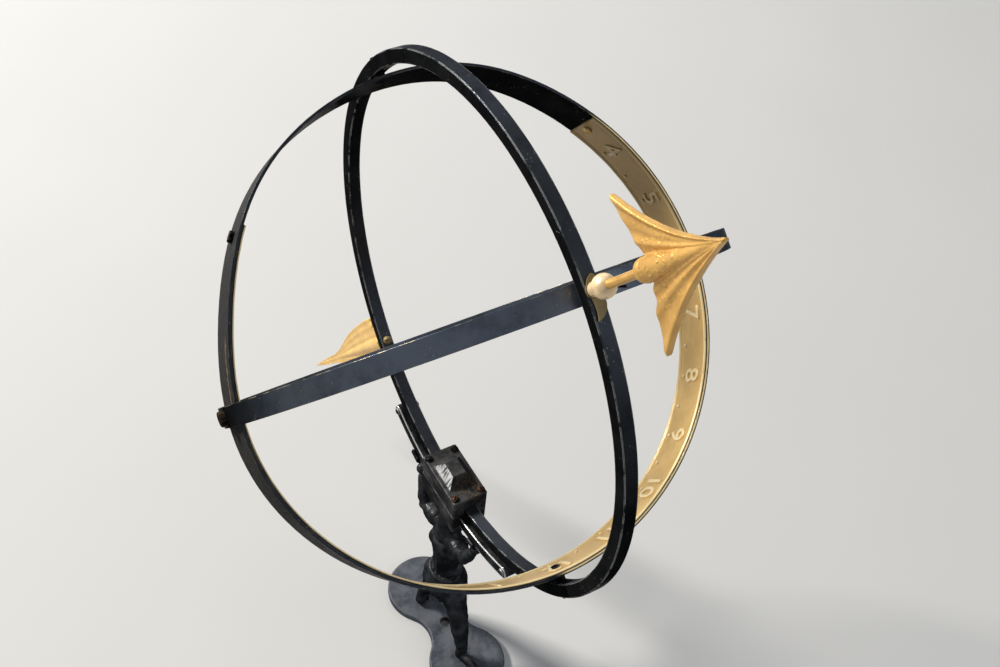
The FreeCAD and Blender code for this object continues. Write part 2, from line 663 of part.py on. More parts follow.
def limb(points, radii):
    """A chain of tapering round segments with a ball at every joint, its poles set along the limb."""
    pieces = []
    for i, (point, radius) in enumerate(zip(points, radii)):
        near = min(i, len(points) - 2)
        pieces.append(aimed(Part.makeSphere(radius * BALL_SWELL), point, points[near + 1] - points[near]))
    for i in range(len(points) - 1):
        pieces.append(rod_between(points[i], points[i + 1], radii[i], radii[i + 1]))
    return pieces


def figure():
    """A strongman who carries the clamp on his neck and steadies the arc with both hands."""
    seat = CENTRE_HEIGHT + CLAMP_BOTTOM - JOIN_GAP
    pieces = []
    for points, radii in LIMBS:
        pieces += limb(points, radii)
    pieces.append(rod_between((4, 0.5, 84), WAIST, 14.0, 11.5))
    pieces.append(rod_between((4, -12, 146), (4, 12, 146), 9.6))
    pieces.append(rod_between((4.5, -1, 138), (1.5, 0, seat), 11.2, PAD_R))
    body = pieces[0]
    for piece in pieces[1:]:
        body = body.fuse(piece)
    body = body.cut(Part.makeBox(200, 200, 20, Vector(-100, -100, PLATE_THICKNESS + JOIN_GAP - 20)))
    body = body.cut(Part.makeBox(60, 60, 20, Vector(-30, -30, seat)))
    body = body.cut(Part.makeCylinder(STUD_R + 0.03, 20, Vector(0, 0, seat - 16)))
    for foot in FOOT_SCREWS:
        body = body.cut(Part.makeCylinder(SCREW_R + 0.03, 20, foot))
    return body


def clamp_stud():
    """The threaded stud that joins the clamp to the figure."""
    return Part.makeCylinder(STUD_R, 18.5, Vector(0, 0, CENTRE_HEIGHT + CLAMP_BOTTOM - 15.5))


STANDING = {
    "base_plate": base_plate,
    "foot_screws": foot_screws,
    "figure": figure,
    "clamp_stud": clamp_stud,
}
CLAMPED = {
    "clamp_body": clamp_body,
    "clamp_cap": clamp_cap,
    "cap_screws": cap_screws,
    "cradle_arc": cradle_arc,
    "cradle_rivets": cradle_rivets,
}
TILTED = {
    "meridian_ring": meridian_ring,
    "equatorial_band": equatorial_band,
    "colure_ring": colure_ring,
    "hour_strip": hour_strip,
    "strip_end_screws": strip_end_screws,
    "strip_end_nuts": strip_end_nuts,
    "ring_joint_screws": ring_joint_screws,
    "ring_joint_spacers": ring_joint_spacers,
    "ring_joint_washers": ring_joint_washers,
    "colure_bolts": colure_bolts,
    "colure_nuts": colure_nuts,
    "colure_spacer": colure_spacer,
    "gnomon_rod": gnomon_rod,
    "split_pin": split_pin,
    "arrow_ball": arrow_ball,
    "tab_washer": tab_washer,
    "pole_nuts": pole_nuts,
    "arrowhead": arrowhead,
    "tail_vane": tail_vane,
    "tail_stud": tail_stud,
}


def main():
    os.makedirs("parts", exist_ok=True)
    for group, place in ((STANDING, lambda s: s), (CLAMPED, raised), (TILTED, tilted)):
        for name, make in group.items():
            shape = place(make())
            shape.exportStep(os.path.join("parts", name + ".step"))
            volume = round(shape.Volume, 1)
            print(name, "solids", len(shape.Solids), "valid", shape.isValid(), "mm3", volume)


main()
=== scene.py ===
import bpy
import math
from mathutils import Euler, Matrix, Vector, noise


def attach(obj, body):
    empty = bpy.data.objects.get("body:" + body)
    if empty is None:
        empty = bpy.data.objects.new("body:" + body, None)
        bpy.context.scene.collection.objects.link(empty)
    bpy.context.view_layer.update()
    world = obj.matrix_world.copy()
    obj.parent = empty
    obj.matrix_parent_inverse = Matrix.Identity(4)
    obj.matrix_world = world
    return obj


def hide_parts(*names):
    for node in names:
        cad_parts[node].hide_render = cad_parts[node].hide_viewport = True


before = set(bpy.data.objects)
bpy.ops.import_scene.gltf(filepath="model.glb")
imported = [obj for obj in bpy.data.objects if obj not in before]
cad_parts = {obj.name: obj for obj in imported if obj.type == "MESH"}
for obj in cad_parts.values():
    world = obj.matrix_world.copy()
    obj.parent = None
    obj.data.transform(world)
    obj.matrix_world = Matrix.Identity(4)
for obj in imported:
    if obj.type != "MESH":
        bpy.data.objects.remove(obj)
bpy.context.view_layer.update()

# ---------------------------------------------------------------- dimensions shared with part.py, in mm
LATITUDE = math.radians(51.0)
CENTRE_HEIGHT = 390.0
BAND_R, BAND_DENT, BAND_DENT_AT, BAND_DENT_SPREAD = 173.3, 9.5, 22.0, 28.0
BAND_BULGE, BAND_BULGE_AT, BAND_BULGE_SPREAD = 3.8, 107.0, 22.0
STRIP_START, STRIP_END, STRIP_WIDTH = -219.5, 41.0, 37.6
BALL_CENTRE, HEAD_LIFT = 203.0, math.radians(1.6)
HEAD_BACK, HEAD_TIP, SOCKET_R = 245.5, 326.5, 6.9
TAIL_FOOT, TAIL_TIP, TAIL_OFFSET = -190.3, -415.0, 11.5
CRADLE_RADIUS, PLATE_TOP, PAD_TOP = 200.3, 6.06, 185.4
NUMERAL_ACROSS, DOT_ACROSS = 2.4, -9.8       # off the middle line of the strip
NUMERAL_HEIGHT, NUMERAL_WIDEST = 17.5, 19.0
DOT_RADIUS, DOT_RISE, DOT_FOOT = 1.4, 1.3, 2.8

COS, SIN = math.cos(LATITUDE), math.sin(LATITUDE)
MM = 0.001
NOON, DEGREES_AN_HOUR = -90.0, 15.0          # the hour strip's noon mark is at the bottom of the band


def polar(e, p, u):
    """From the sphere's polar frame, in mm, to the row frame, in metres."""
    return Vector((e, p * COS - u * SIN, CENTRE_HEIGHT + p * SIN + u * COS)) * MM


def stand(x, y, z):
    return Vector((x, y, z)) * MM


def lifted(e, p, u):
    """A point of the arrowhead, on the part of the rod that bends up at the ball."""
    far = p - BALL_CENTRE
    return polar(e, BALL_CENTRE + far * math.cos(HEAD_LIFT) - u * math.sin(HEAD_LIFT),
                 far * math.sin(HEAD_LIFT) + u * math.cos(HEAD_LIFT))


def swell(deg, middle, spread):
    off = (deg - middle + 180.0) % 360.0 - 180.0
    return math.exp(-(off / spread) ** 2)


def band_outer(deg):
    dent = BAND_DENT * swell(deg, BAND_DENT_AT, BAND_DENT_SPREAD)
    return BAND_R - dent + BAND_BULGE * swell(deg, BAND_BULGE_AT, BAND_BULGE_SPREAD)


# ---------------------------------------------------------------- camera, light and floor
camera = bpy.data.objects.new("camera", bpy.data.cameras.new("camera"))
bpy.context.scene.collection.objects.link(camera)
camera.location = (0.31124, 0.49360, 1.01832)
camera.rotation_euler = Euler([math.radians(a) for a in (42.6435, -4.2470, 150.3577)], "XYZ")
camera.data.sensor_width = 36.0
camera.data.lens = 46.093
bpy.context.scene.camera = camera

world = bpy.data.worlds.new("studio")
bpy.context.scene.world = world
world.use_nodes = True
world.node_tree.nodes["Background"].inputs["Color"].default_value = (0.86, 0.91, 1.0, 1)
world.node_tree.nodes["Background"].inputs["Strength"].default_value = 0.25
bpy.context.scene.view_settings.view_transform = "Standard"


def area_light(name, place, target, size, watts, tint=(1, 1, 1)):
    light = bpy.data.objects.new(name, bpy.data.lights.new(name, "AREA"))
    bpy.context.scene.collection.objects.link(light)
    light.data.size = size
    light.data.energy = watts
    light.data.color = tint
    light.location = place
    light.rotation_mode = "QUATERNION"
    light.rotation_quaternion = (Vector(target) - Vector(place)).to_track_quat("-Z", "Y")


area_light("key", (2.25, -2.93, 2.92), (0, 0, 0.35), 0.90, 330, (1.0, 0.965, 0.90))
area_light("fill", (-1.2, 1.5, 1.6), (0, 0, 0.3), 1.6, 9, (0.92, 0.96, 1.0))
area_light("back", (-0.9, -1.5, 1.3), (0, 0, 0.3), 1.2, 6)


# ---------------------------------------------------------------- material building
class Paint:
    """A node material under construction."""

    def __init__(self, name):
        self.mat = bpy.data.materials.new(name)
        self.mat.use_nodes = True
        self.tree = self.mat.node_tree
        self.shader = self.tree.nodes["Principled BSDF"]
        self.place = self.tree.nodes.new("ShaderNodeTexCoord").outputs["Object"]

    def node(self, kind, **props):
        made = self.tree.nodes.new(kind)
        for key, value in props.items():
            setattr(made, key, value)
        return made

    def put(self, socket, value):
        if isinstance(value, bpy.types.NodeSocket):
            self.tree.links.new(value, socket)
        elif value is not None:
            socket.default_value = value

    def put_color(self, socket, color):
        self.put(socket, color if isinstance(color, bpy.types.NodeSocket) else (*color, 1))

    def math(self, op, a, b=None, clamp=False):
        n = self.node("ShaderNodeMath", operation=op, use_clamp=clamp)
        self.put(n.inputs[0], a)
        self.put(n.inputs[1], b)
        return n.outputs[0]

    def times(self, a, b):
        return self.math("MULTIPLY", a, b)

    def plus(self, a, b, clamp=False):
        return self.math("ADD", a, b, clamp)

    def minus(self, a, b):
        return self.math("SUBTRACT", a, b)

    def length(self, *parts):
        """The length of a vector given by its parts."""
        total = self.times(parts[0], parts[0])
        for part in parts[1:]:
            total = self.plus(total, self.times(part, part))
        return self.math("SQRT", total)

    def turned(self, rotation=(0, 0, 0), location=(0, 0, 0), source=None):
        n = self.node("ShaderNodeMapping")
        self.put(n.inputs["Vector"], source or self.place)
        n.inputs["Rotation"].default_value = rotation
        n.inputs["Location"].default_value = location
        return n.outputs[0]

    def polar(self):
        """East, polar and upward coordinates of the sphere, in metres."""
        shift = (0, -CENTRE_HEIGHT * MM * SIN, -CENTRE_HEIGHT * MM * COS)
        n = self.node("ShaderNodeSeparateXYZ")
        self.put(n.inputs[0], self.turned((-LATITUDE, 0, 0), shift))
        return n.outputs

    def split(self, source=None):
        n = self.node("ShaderNodeSeparateXYZ")
        self.put(n.inputs[0], source or self.place)
        return n.outputs

    def join(self, x, y, z):
        n = self.node("ShaderNodeCombineXYZ")
        for socket, value in zip(n.inputs, (x, y, z)):
            self.put(socket, value)
        return n.outputs[0]

    def noise(self, scale, detail=4.0, rough=0.55, source=None):
        n = self.node("ShaderNodeTexNoise")
        self.put(n.inputs["Vector"], source or self.place)
        n.inputs["Scale"].default_value = scale
        n.inputs["Detail"].default_value = detail
        n.inputs["Roughness"].default_value = rough
        return n.outputs["Fac"]

    def cells(self, scale, source=None):
        n = self.node("ShaderNodeTexVoronoi")
        self.put(n.inputs["Vector"], source or self.place)
        n.inputs["Scale"].default_value = scale
        return n.outputs["Distance"]

    def step(self, value, low, high, out_low=0.0, out_high=1.0):
        n = self.node("ShaderNodeMapRange", interpolation_type="SMOOTHSTEP")
        self.put(n.inputs["Value"], value)
        limits = {"From Min": low, "From Max": high, "To Min": out_low, "To Max": out_high}
        for key, limit in limits.items():
            n.inputs[key].default_value = limit
        return n.outputs[0]

    def mix(self, fac, a, b):
        n = self.node("ShaderNodeMix", data_type="RGBA")
        self.put(n.inputs[0], fac)
        self.put_color(n.inputs[6], a)
        self.put_color(n.inputs[7], b)
        return n.outputs[2]

    def bump(self, height, strength, distance, normal=None):
        n = self.node("ShaderNodeBump")
        self.put(n.inputs["Height"], height)
        n.inputs["Strength"].default_value = strength
        n.inputs["Distance"].default_value = distance
        self.put(n.inputs["Normal"], normal)
        return n.outputs[0]

    def soft_edges(self, radius):
        n = self.node("ShaderNodeBevel", samples=6)
        n.inputs["Radius"].default_value = radius
        return n.outputs[0]

    def normal(self):
        return self.node("ShaderNodeNewGeometry").outputs["Normal"]

    def facing_up(self):
        return self.split(self.normal())[2]

    def corners(self, radius, low=0.985, high=0.90):
        """Where the surface turns a corner, 0 to 1."""
        n = self.node("ShaderNodeVectorMath", operation="DOT_PRODUCT")
        self.put(n.inputs[0], self.soft_edges(radius))
        self.put(n.inputs[1], self.normal())
        return self.step(n.outputs["Value"], low, high)

    def within(self, value, low, high, soft):
        """1 between two limits, fading over soft outside them."""
        return self.times(self.step(value, low - soft, low), self.step(value, high + soft, high))

    def finish(self, color, rough, normal=None, metallic=0.0, specular=0.5, rim=1.0):
        """rim is how much a metallic face brightens where it is seen edge on."""
        self.put_color(self.shader.inputs["Base Color"], color)
        self.put(self.shader.inputs["Roughness"], rough)
        self.put(self.shader.inputs["Metallic"], metallic)
        self.put(self.shader.inputs["Normal"], normal)
        self.shader.inputs["Specular Tint"].default_value = (rim, rim, rim, 1)
        self.shader.inputs["Specular IOR Level"].default_value = specular
        return self.mat


RING_RADIUS, BAND_RADIUS, COLURE_RADIUS = 0.185, 0.172, 0.178      # where wear is measured along, in metres


def along(p, kind):
    """Distance along a ring and across it, in metres. The band's starts at the noon mark."""
    e, n, u = p.polar()
    if kind == "ring":
        return p.times(p.math("ARCTAN2", n, u), RING_RADIUS), e
    if kind == "band":
        west, down = p.times(e, -1.0), p.times(u, -1.0)
        return p.times(p.math("ARCTAN2", west, down), BAND_RADIUS), n
    return p.times(p.math("ARCTAN2", e, n), COLURE_RADIUS), u


def outward(p):
    """How far a face looks away from the polar axis, -1 to 1."""
    e, _, u = p.polar()
    ne, _, nu = p.split(p.turned((-LATITUDE, 0, 0), source=p.normal()))
    return p.math("DIVIDE", p.plus(p.times(e, ne), p.times(u, nu)), p.length(e, u))


def black_paint(name, kind, sheen_and_dust_tone=(0.042, 0.047, 0.057), painted_glint_and_wear=(0.60, 0.61, 0.60), glint_cover=0.43):
    """Old black paint on a bar: brushed lengthwise, lighter on top from dust and a painted sky reflection,
    bright at its corners from rubbed wear and painted highlights.
    """
    p = Paint(name)
    s, across = along(p, kind)
    lengthwise = p.join(p.times(s, 0.12), across, p.times(across, 0.7))
    strokes = p.noise(900, 3, 0.6, lengthwise)
    patches = p.noise(38, 5, 0.6)
    fine = p.noise(420, 5, 0.65)
    color = p.mix(p.step(patches, 0.35, 0.75), (0.008, 0.0088, 0.010), (0.017, 0.0178, 0.0195))
    color = p.mix(p.times(p.step(strokes, 0.5, 0.8), 0.4), color, (0.026, 0.025, 0.023))
    # Upward faces take a paler, bluish tone: partly dust, partly a painted reflection of the sky.
    cloudy = p.step(p.noise(60, 5, 0.65), 0.25, 0.6, 0.55, 1.0)
    upward_tint = p.times(p.step(p.facing_up(), 0.02, 0.8), cloudy)
    color = p.mix(upward_tint, color, sheen_and_dust_tone)
    if kind == "band":
        color = band_wear(p, color, s, across, lengthwise)
    speck = p.times(p.step(p.cells(420), 0.15, 0.07), p.step(p.noise(52, 2), 0.55, 0.62))
    color = p.mix(speck, color, (0.34, 0.30, 0.22))
    chips = p.step(p.cells(260, p.turned((0.3, 0.7, 0.2))), 0.10, 0.05)
    color = p.mix(p.times(chips, p.step(p.noise(30, 2), 0.52, 0.6)), color, (0.38, 0.38, 0.37))
    # Bright corner lines: painted highlights where the edges catch the light, partly rubbed-through paint.
    glint_and_wear_breaks = p.step(p.noise(75, 6, 0.7), glint_cover, glint_cover + 0.1)
    color = p.mix(p.times(p.corners(0.0009), glint_and_wear_breaks), color, painted_glint_and_wear)
    if kind == "band":
        color = gilt_edge(p, color, s, across)
    rough = p.plus(p.step(patches, 0.3, 0.8, 0.17, 0.32), p.times(upward_tint, 0.12))
    height = p.plus(p.times(strokes, 0.5), p.times(fine, 0.5))
    return p.finish(color, rough, p.bump(height, 0.35, 0.0004, p.soft_edges(0.0007)), 0.5, 0.0, 0.0)


def band_wear(p, color, s, across, lengthwise):
    """A scuffed outer face with one rusty streak on its east side."""
    scratches = p.step(p.noise(1300, 4, 0.7, lengthwise), 0.35, 0.7, 0.35, 1.0)
    color = p.mix(p.times(p.step(outward(p), 0.3, 0.8), scratches), color, (0.085, 0.084, 0.083))
    wander = p.plus(across, p.times(p.minus(p.noise(160, 4, 0.7), 0.5), 0.007))
    streak = p.times(p.within(s, -0.312, -0.278, 0.012), p.within(wander, 0.0068, 0.0098, 0.0008))
    streak = p.times(streak, p.step(p.noise(500, 5, 0.7), 0.38, 0.55))
    return p.mix(streak, color, (0.26, 0.185, 0.105))


def gilt_edge(p, color, s, across):
    """Gold paint that laps from the hour strip over the band's north edge, on the morning side."""
    e, _, u = p.polar()
    r = p.plus(p.length(e, u), p.times(p.minus(p.noise(90, 4, 0.7), 0.5), 0.0009))
    lapped = p.times(p.within(s, 0.0, 0.385, 0.01), p.step(r, 0.1725, 0.1723))
    return p.mix(p.times(lapped, p.step(across, 0.01885, 0.01895)), color, (0.80, 0.60, 0.30))


def iron(name, base=(0.013, 0.0138, 0.0155), worn=(0.042, 0.045, 0.052), dust=(0.12, 0.123, 0.13),
         dusty=0.5, gloss=0.17, grain=0.30, specular=0.0, glint_and_wear_cover=0.5, painted_glint_and_wear=(0.34, 0.35, 0.36),
         rust_at=None, rust_reach=0.004, rust_tones=None, painted_sheen_above=None, round_edge=0.0006):
    """Painted cast iron: pitted, dusty on its upward faces, bright on its corners from rubbed wear and
    painted highlights.
    """
    p = Paint(name)
    patches = p.noise(55, 6, 0.65)
    fine = p.noise(520, 6, 0.7)
    pits = p.step(p.cells(420), 0.0, 0.28)
    color = p.mix(p.step(patches, 0.4, 0.72), base, worn)
    upward_tint = p.times(p.step(p.facing_up(), 0.2, 0.95), p.step(p.noise(85, 6, 0.7), 0.35, 0.7))
    color = p.mix(p.times(upward_tint, dusty), color, dust)
    color = p.mix(p.times(p.step(fine, 0.60, 0.72), 0.35), color, (0.13, 0.125, 0.115))
    rough = p.step(p.plus(patches, p.times(upward_tint, 0.4)), 0.3, 0.9, gloss, gloss + 0.25)
    if rust_at is not None:
        rust = rust_patch(p, rust_at, rust_reach)
        color = p.mix(rust, color, p.mix(p.step(p.noise(600, 4), 0.4, 0.65), *rust_tones))
        rough = p.plus(rough, p.times(rust, 0.35), clamp=True)
    # A painted highlight on the east-facing faces above a height, where the light falls, streaked like
    # scratches.
    if painted_sheen_above is not None:
        x, y, z = p.split()
        east = p.step(p.split(p.normal())[0], 0.35, 0.6)
        east_highlight = p.times(east, p.step(z, painted_sheen_above, painted_sheen_above + 0.0006))
        lines = p.noise(620, 4, 0.7, p.join(p.times(x, 0.15), y, p.times(z, 0.15)))
        color = p.mix(p.times(east_highlight, p.step(lines, 0.36, 0.6)), color, (0.62, 0.63, 0.64))
    # Corner lines: partly rubbed wear, partly painted highlights where the edges catch the light.
    edge = p.times(p.corners(round_edge * 1.15), p.step(p.noise(90, 6, 0.7), glint_and_wear_cover, glint_and_wear_cover + 0.1))
    color = p.mix(edge, color, painted_glint_and_wear)
    height = p.plus(p.times(fine, 0.6), p.times(pits, 0.25))
    height = p.plus(height, p.times(patches, 0.8))
    normal = p.bump(height, grain, 0.0006, p.soft_edges(round_edge))
    return p.finish(color, rough, normal, 0.4, specular, 0.0)


def rust_patch(p, middle, reach):
    """A ragged round patch about a point, 0 to 1."""
    away = p.length(*[p.minus(c, v) for c, v in zip(p.split(), middle)])
    away = p.plus(away, p.times(p.minus(p.noise(300, 5, 0.7), 0.5), reach))
    return p.times(p.step(away, reach, reach * 0.55), p.step(p.noise(240, 5, 0.75), 0.38, 0.6))


def gold(name, base=(0.78, 0.455, 0.12), deep=(0.46, 0.24, 0.055), metallic=0.5, rough=0.36, lumps=0.4):
    """Thick metallic gold paint over a rough casting."""
    p = Paint(name)
    patches = p.noise(60, 5, 0.6)
    fine = p.noise(700, 5, 0.65)
    beads = p.times(p.step(p.cells(300), 0.42, 0.12), p.step(p.noise(90, 3), 0.5, 0.62))
    color = p.mix(p.step(patches, 0.38, 0.7), deep, base)
    color = p.mix(0.55, color, base)
    color = p.mix(p.times(p.step(fine, 0.62, 0.75), 0.4), color, deep)
    height = p.plus(p.times(fine, 0.35), p.times(beads, lumps))
    height = p.plus(height, p.times(patches, 0.6))
    roughness = p.step(p.noise(240, 4), 0.3, 0.75, rough - 0.06, rough + 0.14)
    return p.finish(color, roughness, p.bump(height, 0.5, 0.0006), metallic=metallic)


def strip_gold(name, base, deep, rough, streak, shine):
    """Dull gold sheet, brushed along its length."""
    p = Paint(name)
    s, across = along(p, "band")
    lengthwise = p.join(p.times(s, 0.05), across, 0.0)
    lines = p.noise(1500, 4, 0.65, lengthwise)
    patches = p.noise(42, 5, 0.6)
    color = p.mix(p.step(patches, 0.35, 0.72), deep, base)
    color = p.mix(p.times(p.step(lines, 0.52, 0.75), 0.45), color, deep)
    dirt = p.times(p.step(p.cells(260), 0.1, 0.05), p.step(p.noise(45, 2), 0.52, 0.6))
    color = p.mix(dirt, color, (0.05, 0.035, 0.02))
    # Darker towards the early-morning end: painted shade on the part of the strip turned away from the
    # light.
    painted_shade_early_hours = p.step(p.plus(s, p.times(patches, 0.03)), 0.27, 0.34, 0.0, 0.72)
    color = p.mix(painted_shade_early_hours, color, (0.135, 0.083, 0.025))
    height = p.plus(p.times(lines, streak), p.times(p.noise(500, 4), 0.3))
    roughness = p.step(p.noise(150, 4), 0.3, 0.75, rough - 0.05, rough + 0.12)
    return p.finish(color, roughness, p.bump(height, 0.3, 0.0004), metallic=shine)


def strip_screw_look():
    """Gold heads inside the band and black ends outside it."""
    p = Paint("strip_screw")
    patches = p.noise(260, 5, 0.7)
    gilt = p.mix(p.step(patches, 0.4, 0.7), (0.50, 0.30, 0.09), (0.78, 0.52, 0.20))
    color = p.mix(p.step(outward(p), 0.2, 0.6), gilt, (0.006, 0.0065, 0.0075))
    rough = p.step(patches, 0.3, 0.7, 0.28, 0.45)
    return p.finish(color, rough, p.bump(patches, 0.4, 0.0004), metallic=0.4)


def fastener(name, tones=((0.005, 0.0055, 0.0065), (0.024, 0.023, 0.021)), rusty_side=None,
             rust_tones=((0.13, 0.055, 0.024), (0.035, 0.018, 0.011))):
    """Dull screws and nuts. rusty_side is a coordinate axis and a limit beyond which they are rusted."""
    p = Paint(name)
    patches = p.noise(260, 5, 0.7)
    steel = p.mix(p.step(patches, 0.42, 0.66), *tones)
    bare = p.times(p.corners(0.0005), p.step(p.noise(300, 4), 0.45, 0.6))
    steel = p.mix(bare, steel, (0.26, 0.25, 0.23))
    rust = p.mix(p.step(p.noise(520, 5, 0.7), 0.42, 0.62), *rust_tones)
    rusted = 0.0
    if rusty_side:
        axis, limit = rusty_side
        beyond = p.step(p.split()[axis], limit, limit + 0.002)
        rusted = p.times(beyond, p.step(p.noise(180, 4), 0.42, 0.58))
    color = p.mix(rusted, steel, rust)
    rough = p.plus(p.step(patches, 0.3, 0.7, 0.28, 0.48), p.times(rusted, 0.3))
    scale = p.times(p.noise(900, 4, 0.7), p.plus(p.times(rusted, 0.8), 0.2))
    normal = p.bump(p.plus(patches, scale), 0.5, 0.0005, p.soft_edges(0.0004))
    return p.finish(color, rough, normal, 0.4, 0.0, 0.0)


RING_PAINT = black_paint("ring_paint", "ring")
BAND_PAINT = black_paint("band_paint", "band", painted_glint_and_wear=(0.24, 0.20, 0.12), glint_cover=0.50)
# The pale bluish tone on its top faces is mostly a painted sky reflection.
COLURE_PAINT = black_paint("colure_paint", "colure", (0.125, 0.148, 0.19), (0.42, 0.38, 0.28), 0.48)
FIGURE_IRON = iron("figure_iron")
PLATE_IRON = iron("plate_iron", (0.045, 0.053, 0.068), (0.115, 0.126, 0.152), (0.15, 0.155, 0.165),
                  dusty=0.6, gloss=0.42, grain=0.45, specular=0.1, glint_and_wear_cover=0.56, painted_glint_and_wear=(0.20, 0.21, 0.23),
                  rust_at=(0, 0, 0.005), rust_reach=0.0066,
                  rust_tones=((0.10, 0.045, 0.022), (0.030, 0.018, 0.012)))
CLAMP_IRON = iron("clamp_iron", (0.020, 0.0205, 0.0225), (0.085, 0.086, 0.090), (0.11, 0.107, 0.102),
                  gloss=0.22, grain=0.4, glint_and_wear_cover=0.53, painted_glint_and_wear=(0.27, 0.275, 0.28),
                  rust_at=(-0.004, 0.013, 0.224), rust_reach=0.013,
                  rust_tones=((0.105, 0.082, 0.062), (0.020, 0.016, 0.013)), painted_sheen_above=0.2222)
# Its near-white corner colour paints the highlights along the cradle's edges.
CRADLE_IRON = iron("cradle_iron", (0.014, 0.015, 0.017), (0.045, 0.048, 0.055), (0.10, 0.102, 0.105),
                   dusty=0.4, gloss=0.16, grain=0.22, glint_and_wear_cover=0.22, painted_glint_and_wear=(0.85, 0.87, 0.87),
                   round_edge=0.0018)
GOLD_CAST = gold("gold_cast")
GOLD_SMOOTH = gold("gold_smooth", (0.97, 0.75, 0.47), (0.80, 0.55, 0.28), 0.42, 0.35, 0.08)
GOLD_TAIL = gold("gold_tail", (0.86, 0.55, 0.17), (0.62, 0.36, 0.09), 0.5, 0.38, 0.4)
GOLD_DULL = gold("gold_dull", (0.26, 0.195, 0.08), (0.10, 0.07, 0.03), 0.3, 0.5, 0.2)
STRIP_FACE = strip_gold("strip_face", (0.76, 0.500, 0.175), (0.60, 0.385, 0.125), 0.38, 0.6, 0.2)
# The rims, numerals and dots are paler and brighter than the strip's face: a painted highlight on the raised
# metal.
STRIP_RAISED = strip_gold("strip_raised", (1.0, 0.82, 0.48), (0.93, 0.72, 0.37), 0.32, 0.1, 0.25)
STRIP_DOT = strip_gold("strip_dot", (1.0, 0.88, 0.60), (0.98, 0.82, 0.50), 0.24, 0.0, 0.1)
STRIP_SIDE = strip_gold("strip_side", (0.17, 0.13, 0.06), (0.012, 0.010, 0.007), 0.45, 0.5, 0.4)
STRIP_SCREW = strip_screw_look()
SCREW_STEEL = fastener("screw_steel")
COLURE_STEEL = fastener("colure_steel", ((0.004, 0.0045, 0.005), (0.018, 0.017, 0.015)), (0, 0.0),
                        ((0.060, 0.042, 0.028), (0.014, 0.010, 0.008)))
CAP_STEEL = fastener("cap_steel", rusty_side=(1, 0.006),
                     rust_tones=((0.10, 0.055, 0.032), (0.030, 0.019, 0.013)))

CAD_LOOKS = {
    "base_plate": PLATE_IRON, "foot_screws": SCREW_STEEL, "clamp_stud": SCREW_STEEL,
    "clamp_body": CLAMP_IRON, "clamp_cap": CLAMP_IRON, "cap_screws": CAP_STEEL,
    "cradle_arc": CRADLE_IRON, "cradle_rivets": CRADLE_IRON,
    "meridian_ring": RING_PAINT, "equatorial_band": BAND_PAINT, "colure_ring": COLURE_PAINT,
    "strip_end_screws": STRIP_SCREW, "strip_end_nuts": SCREW_STEEL,
    "ring_joint_screws": SCREW_STEEL, "ring_joint_spacers": SCREW_STEEL, "ring_joint_washers": SCREW_STEEL,
    "colure_bolts": COLURE_STEEL, "colure_nuts": COLURE_STEEL, "colure_spacer": SCREW_STEEL,
    "gnomon_rod": GOLD_CAST, "split_pin": SCREW_STEEL, "arrow_ball": GOLD_SMOOTH, "tab_washer": GOLD_DULL,
    "pole_nuts": GOLD_DULL, "tail_stud": GOLD_DULL,
}
for node_name, look in CAD_LOOKS.items():
    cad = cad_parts[node_name]
    cad.data.materials.clear()
    cad.data.materials.append(look)


# ---------------------------------------------------------------- mesh helpers
def circle(sides):
    """The corners of a regular polygon of radius 1."""
    angles = [2 * math.pi * j / sides for j in range(sides)]
    return [(math.cos(a), math.sin(a)) for a in angles]


def new_piece(name, verts, faces, body, looks, replaces=(), picks=None):
    """A smooth-shaded piece. picks is the look that each face takes."""
    mesh = bpy.data.meshes.new(name)
    mesh.from_pydata([tuple(v) for v in verts], [], faces)
    mesh.validate()
    for look in looks:
        mesh.materials.append(look)
    if picks:
        mesh.polygons.foreach_set("material_index", picks)
    mesh.polygons.foreach_set("use_smooth", [True] * len(mesh.polygons))
    obj = bpy.data.objects.new(name, mesh)
    bpy.context.scene.collection.objects.link(obj)
    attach(obj, body)
    if replaces:
        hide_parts(*replaces)
    return obj


def remeshed(verts, faces, voxel, relax):
    """One closed skin over overlapping closed lumps. The lumps are in mm."""
    mesh = bpy.data.meshes.new("lumps")
    mesh.from_pydata([tuple(v) for v in verts], [], faces)
    obj = bpy.data.objects.new("lumps", mesh)
    bpy.context.scene.collection.objects.link(obj)
    skin = obj.modifiers.new("skin", "REMESH")
    skin.mode = "VOXEL"
    skin.voxel_size = voxel
    ease = obj.modifiers.new("ease", "SMOOTH")
    ease.iterations = relax
    ease.factor = 0.5
    evaluated = obj.evaluated_get(bpy.context.evaluated_depsgraph_get())
    made = bpy.data.meshes.new_from_object(evaluated)
    out_verts = [v.co.copy() for v in made.vertices]
    out_faces = [tuple(f.vertices) for f in made.polygons]
    normals = [v.normal.copy() for v in made.vertices]
    bpy.data.objects.remove(obj)
    bpy.data.meshes.remove(mesh)
    bpy.data.meshes.remove(made)
    return out_verts, out_faces, normals


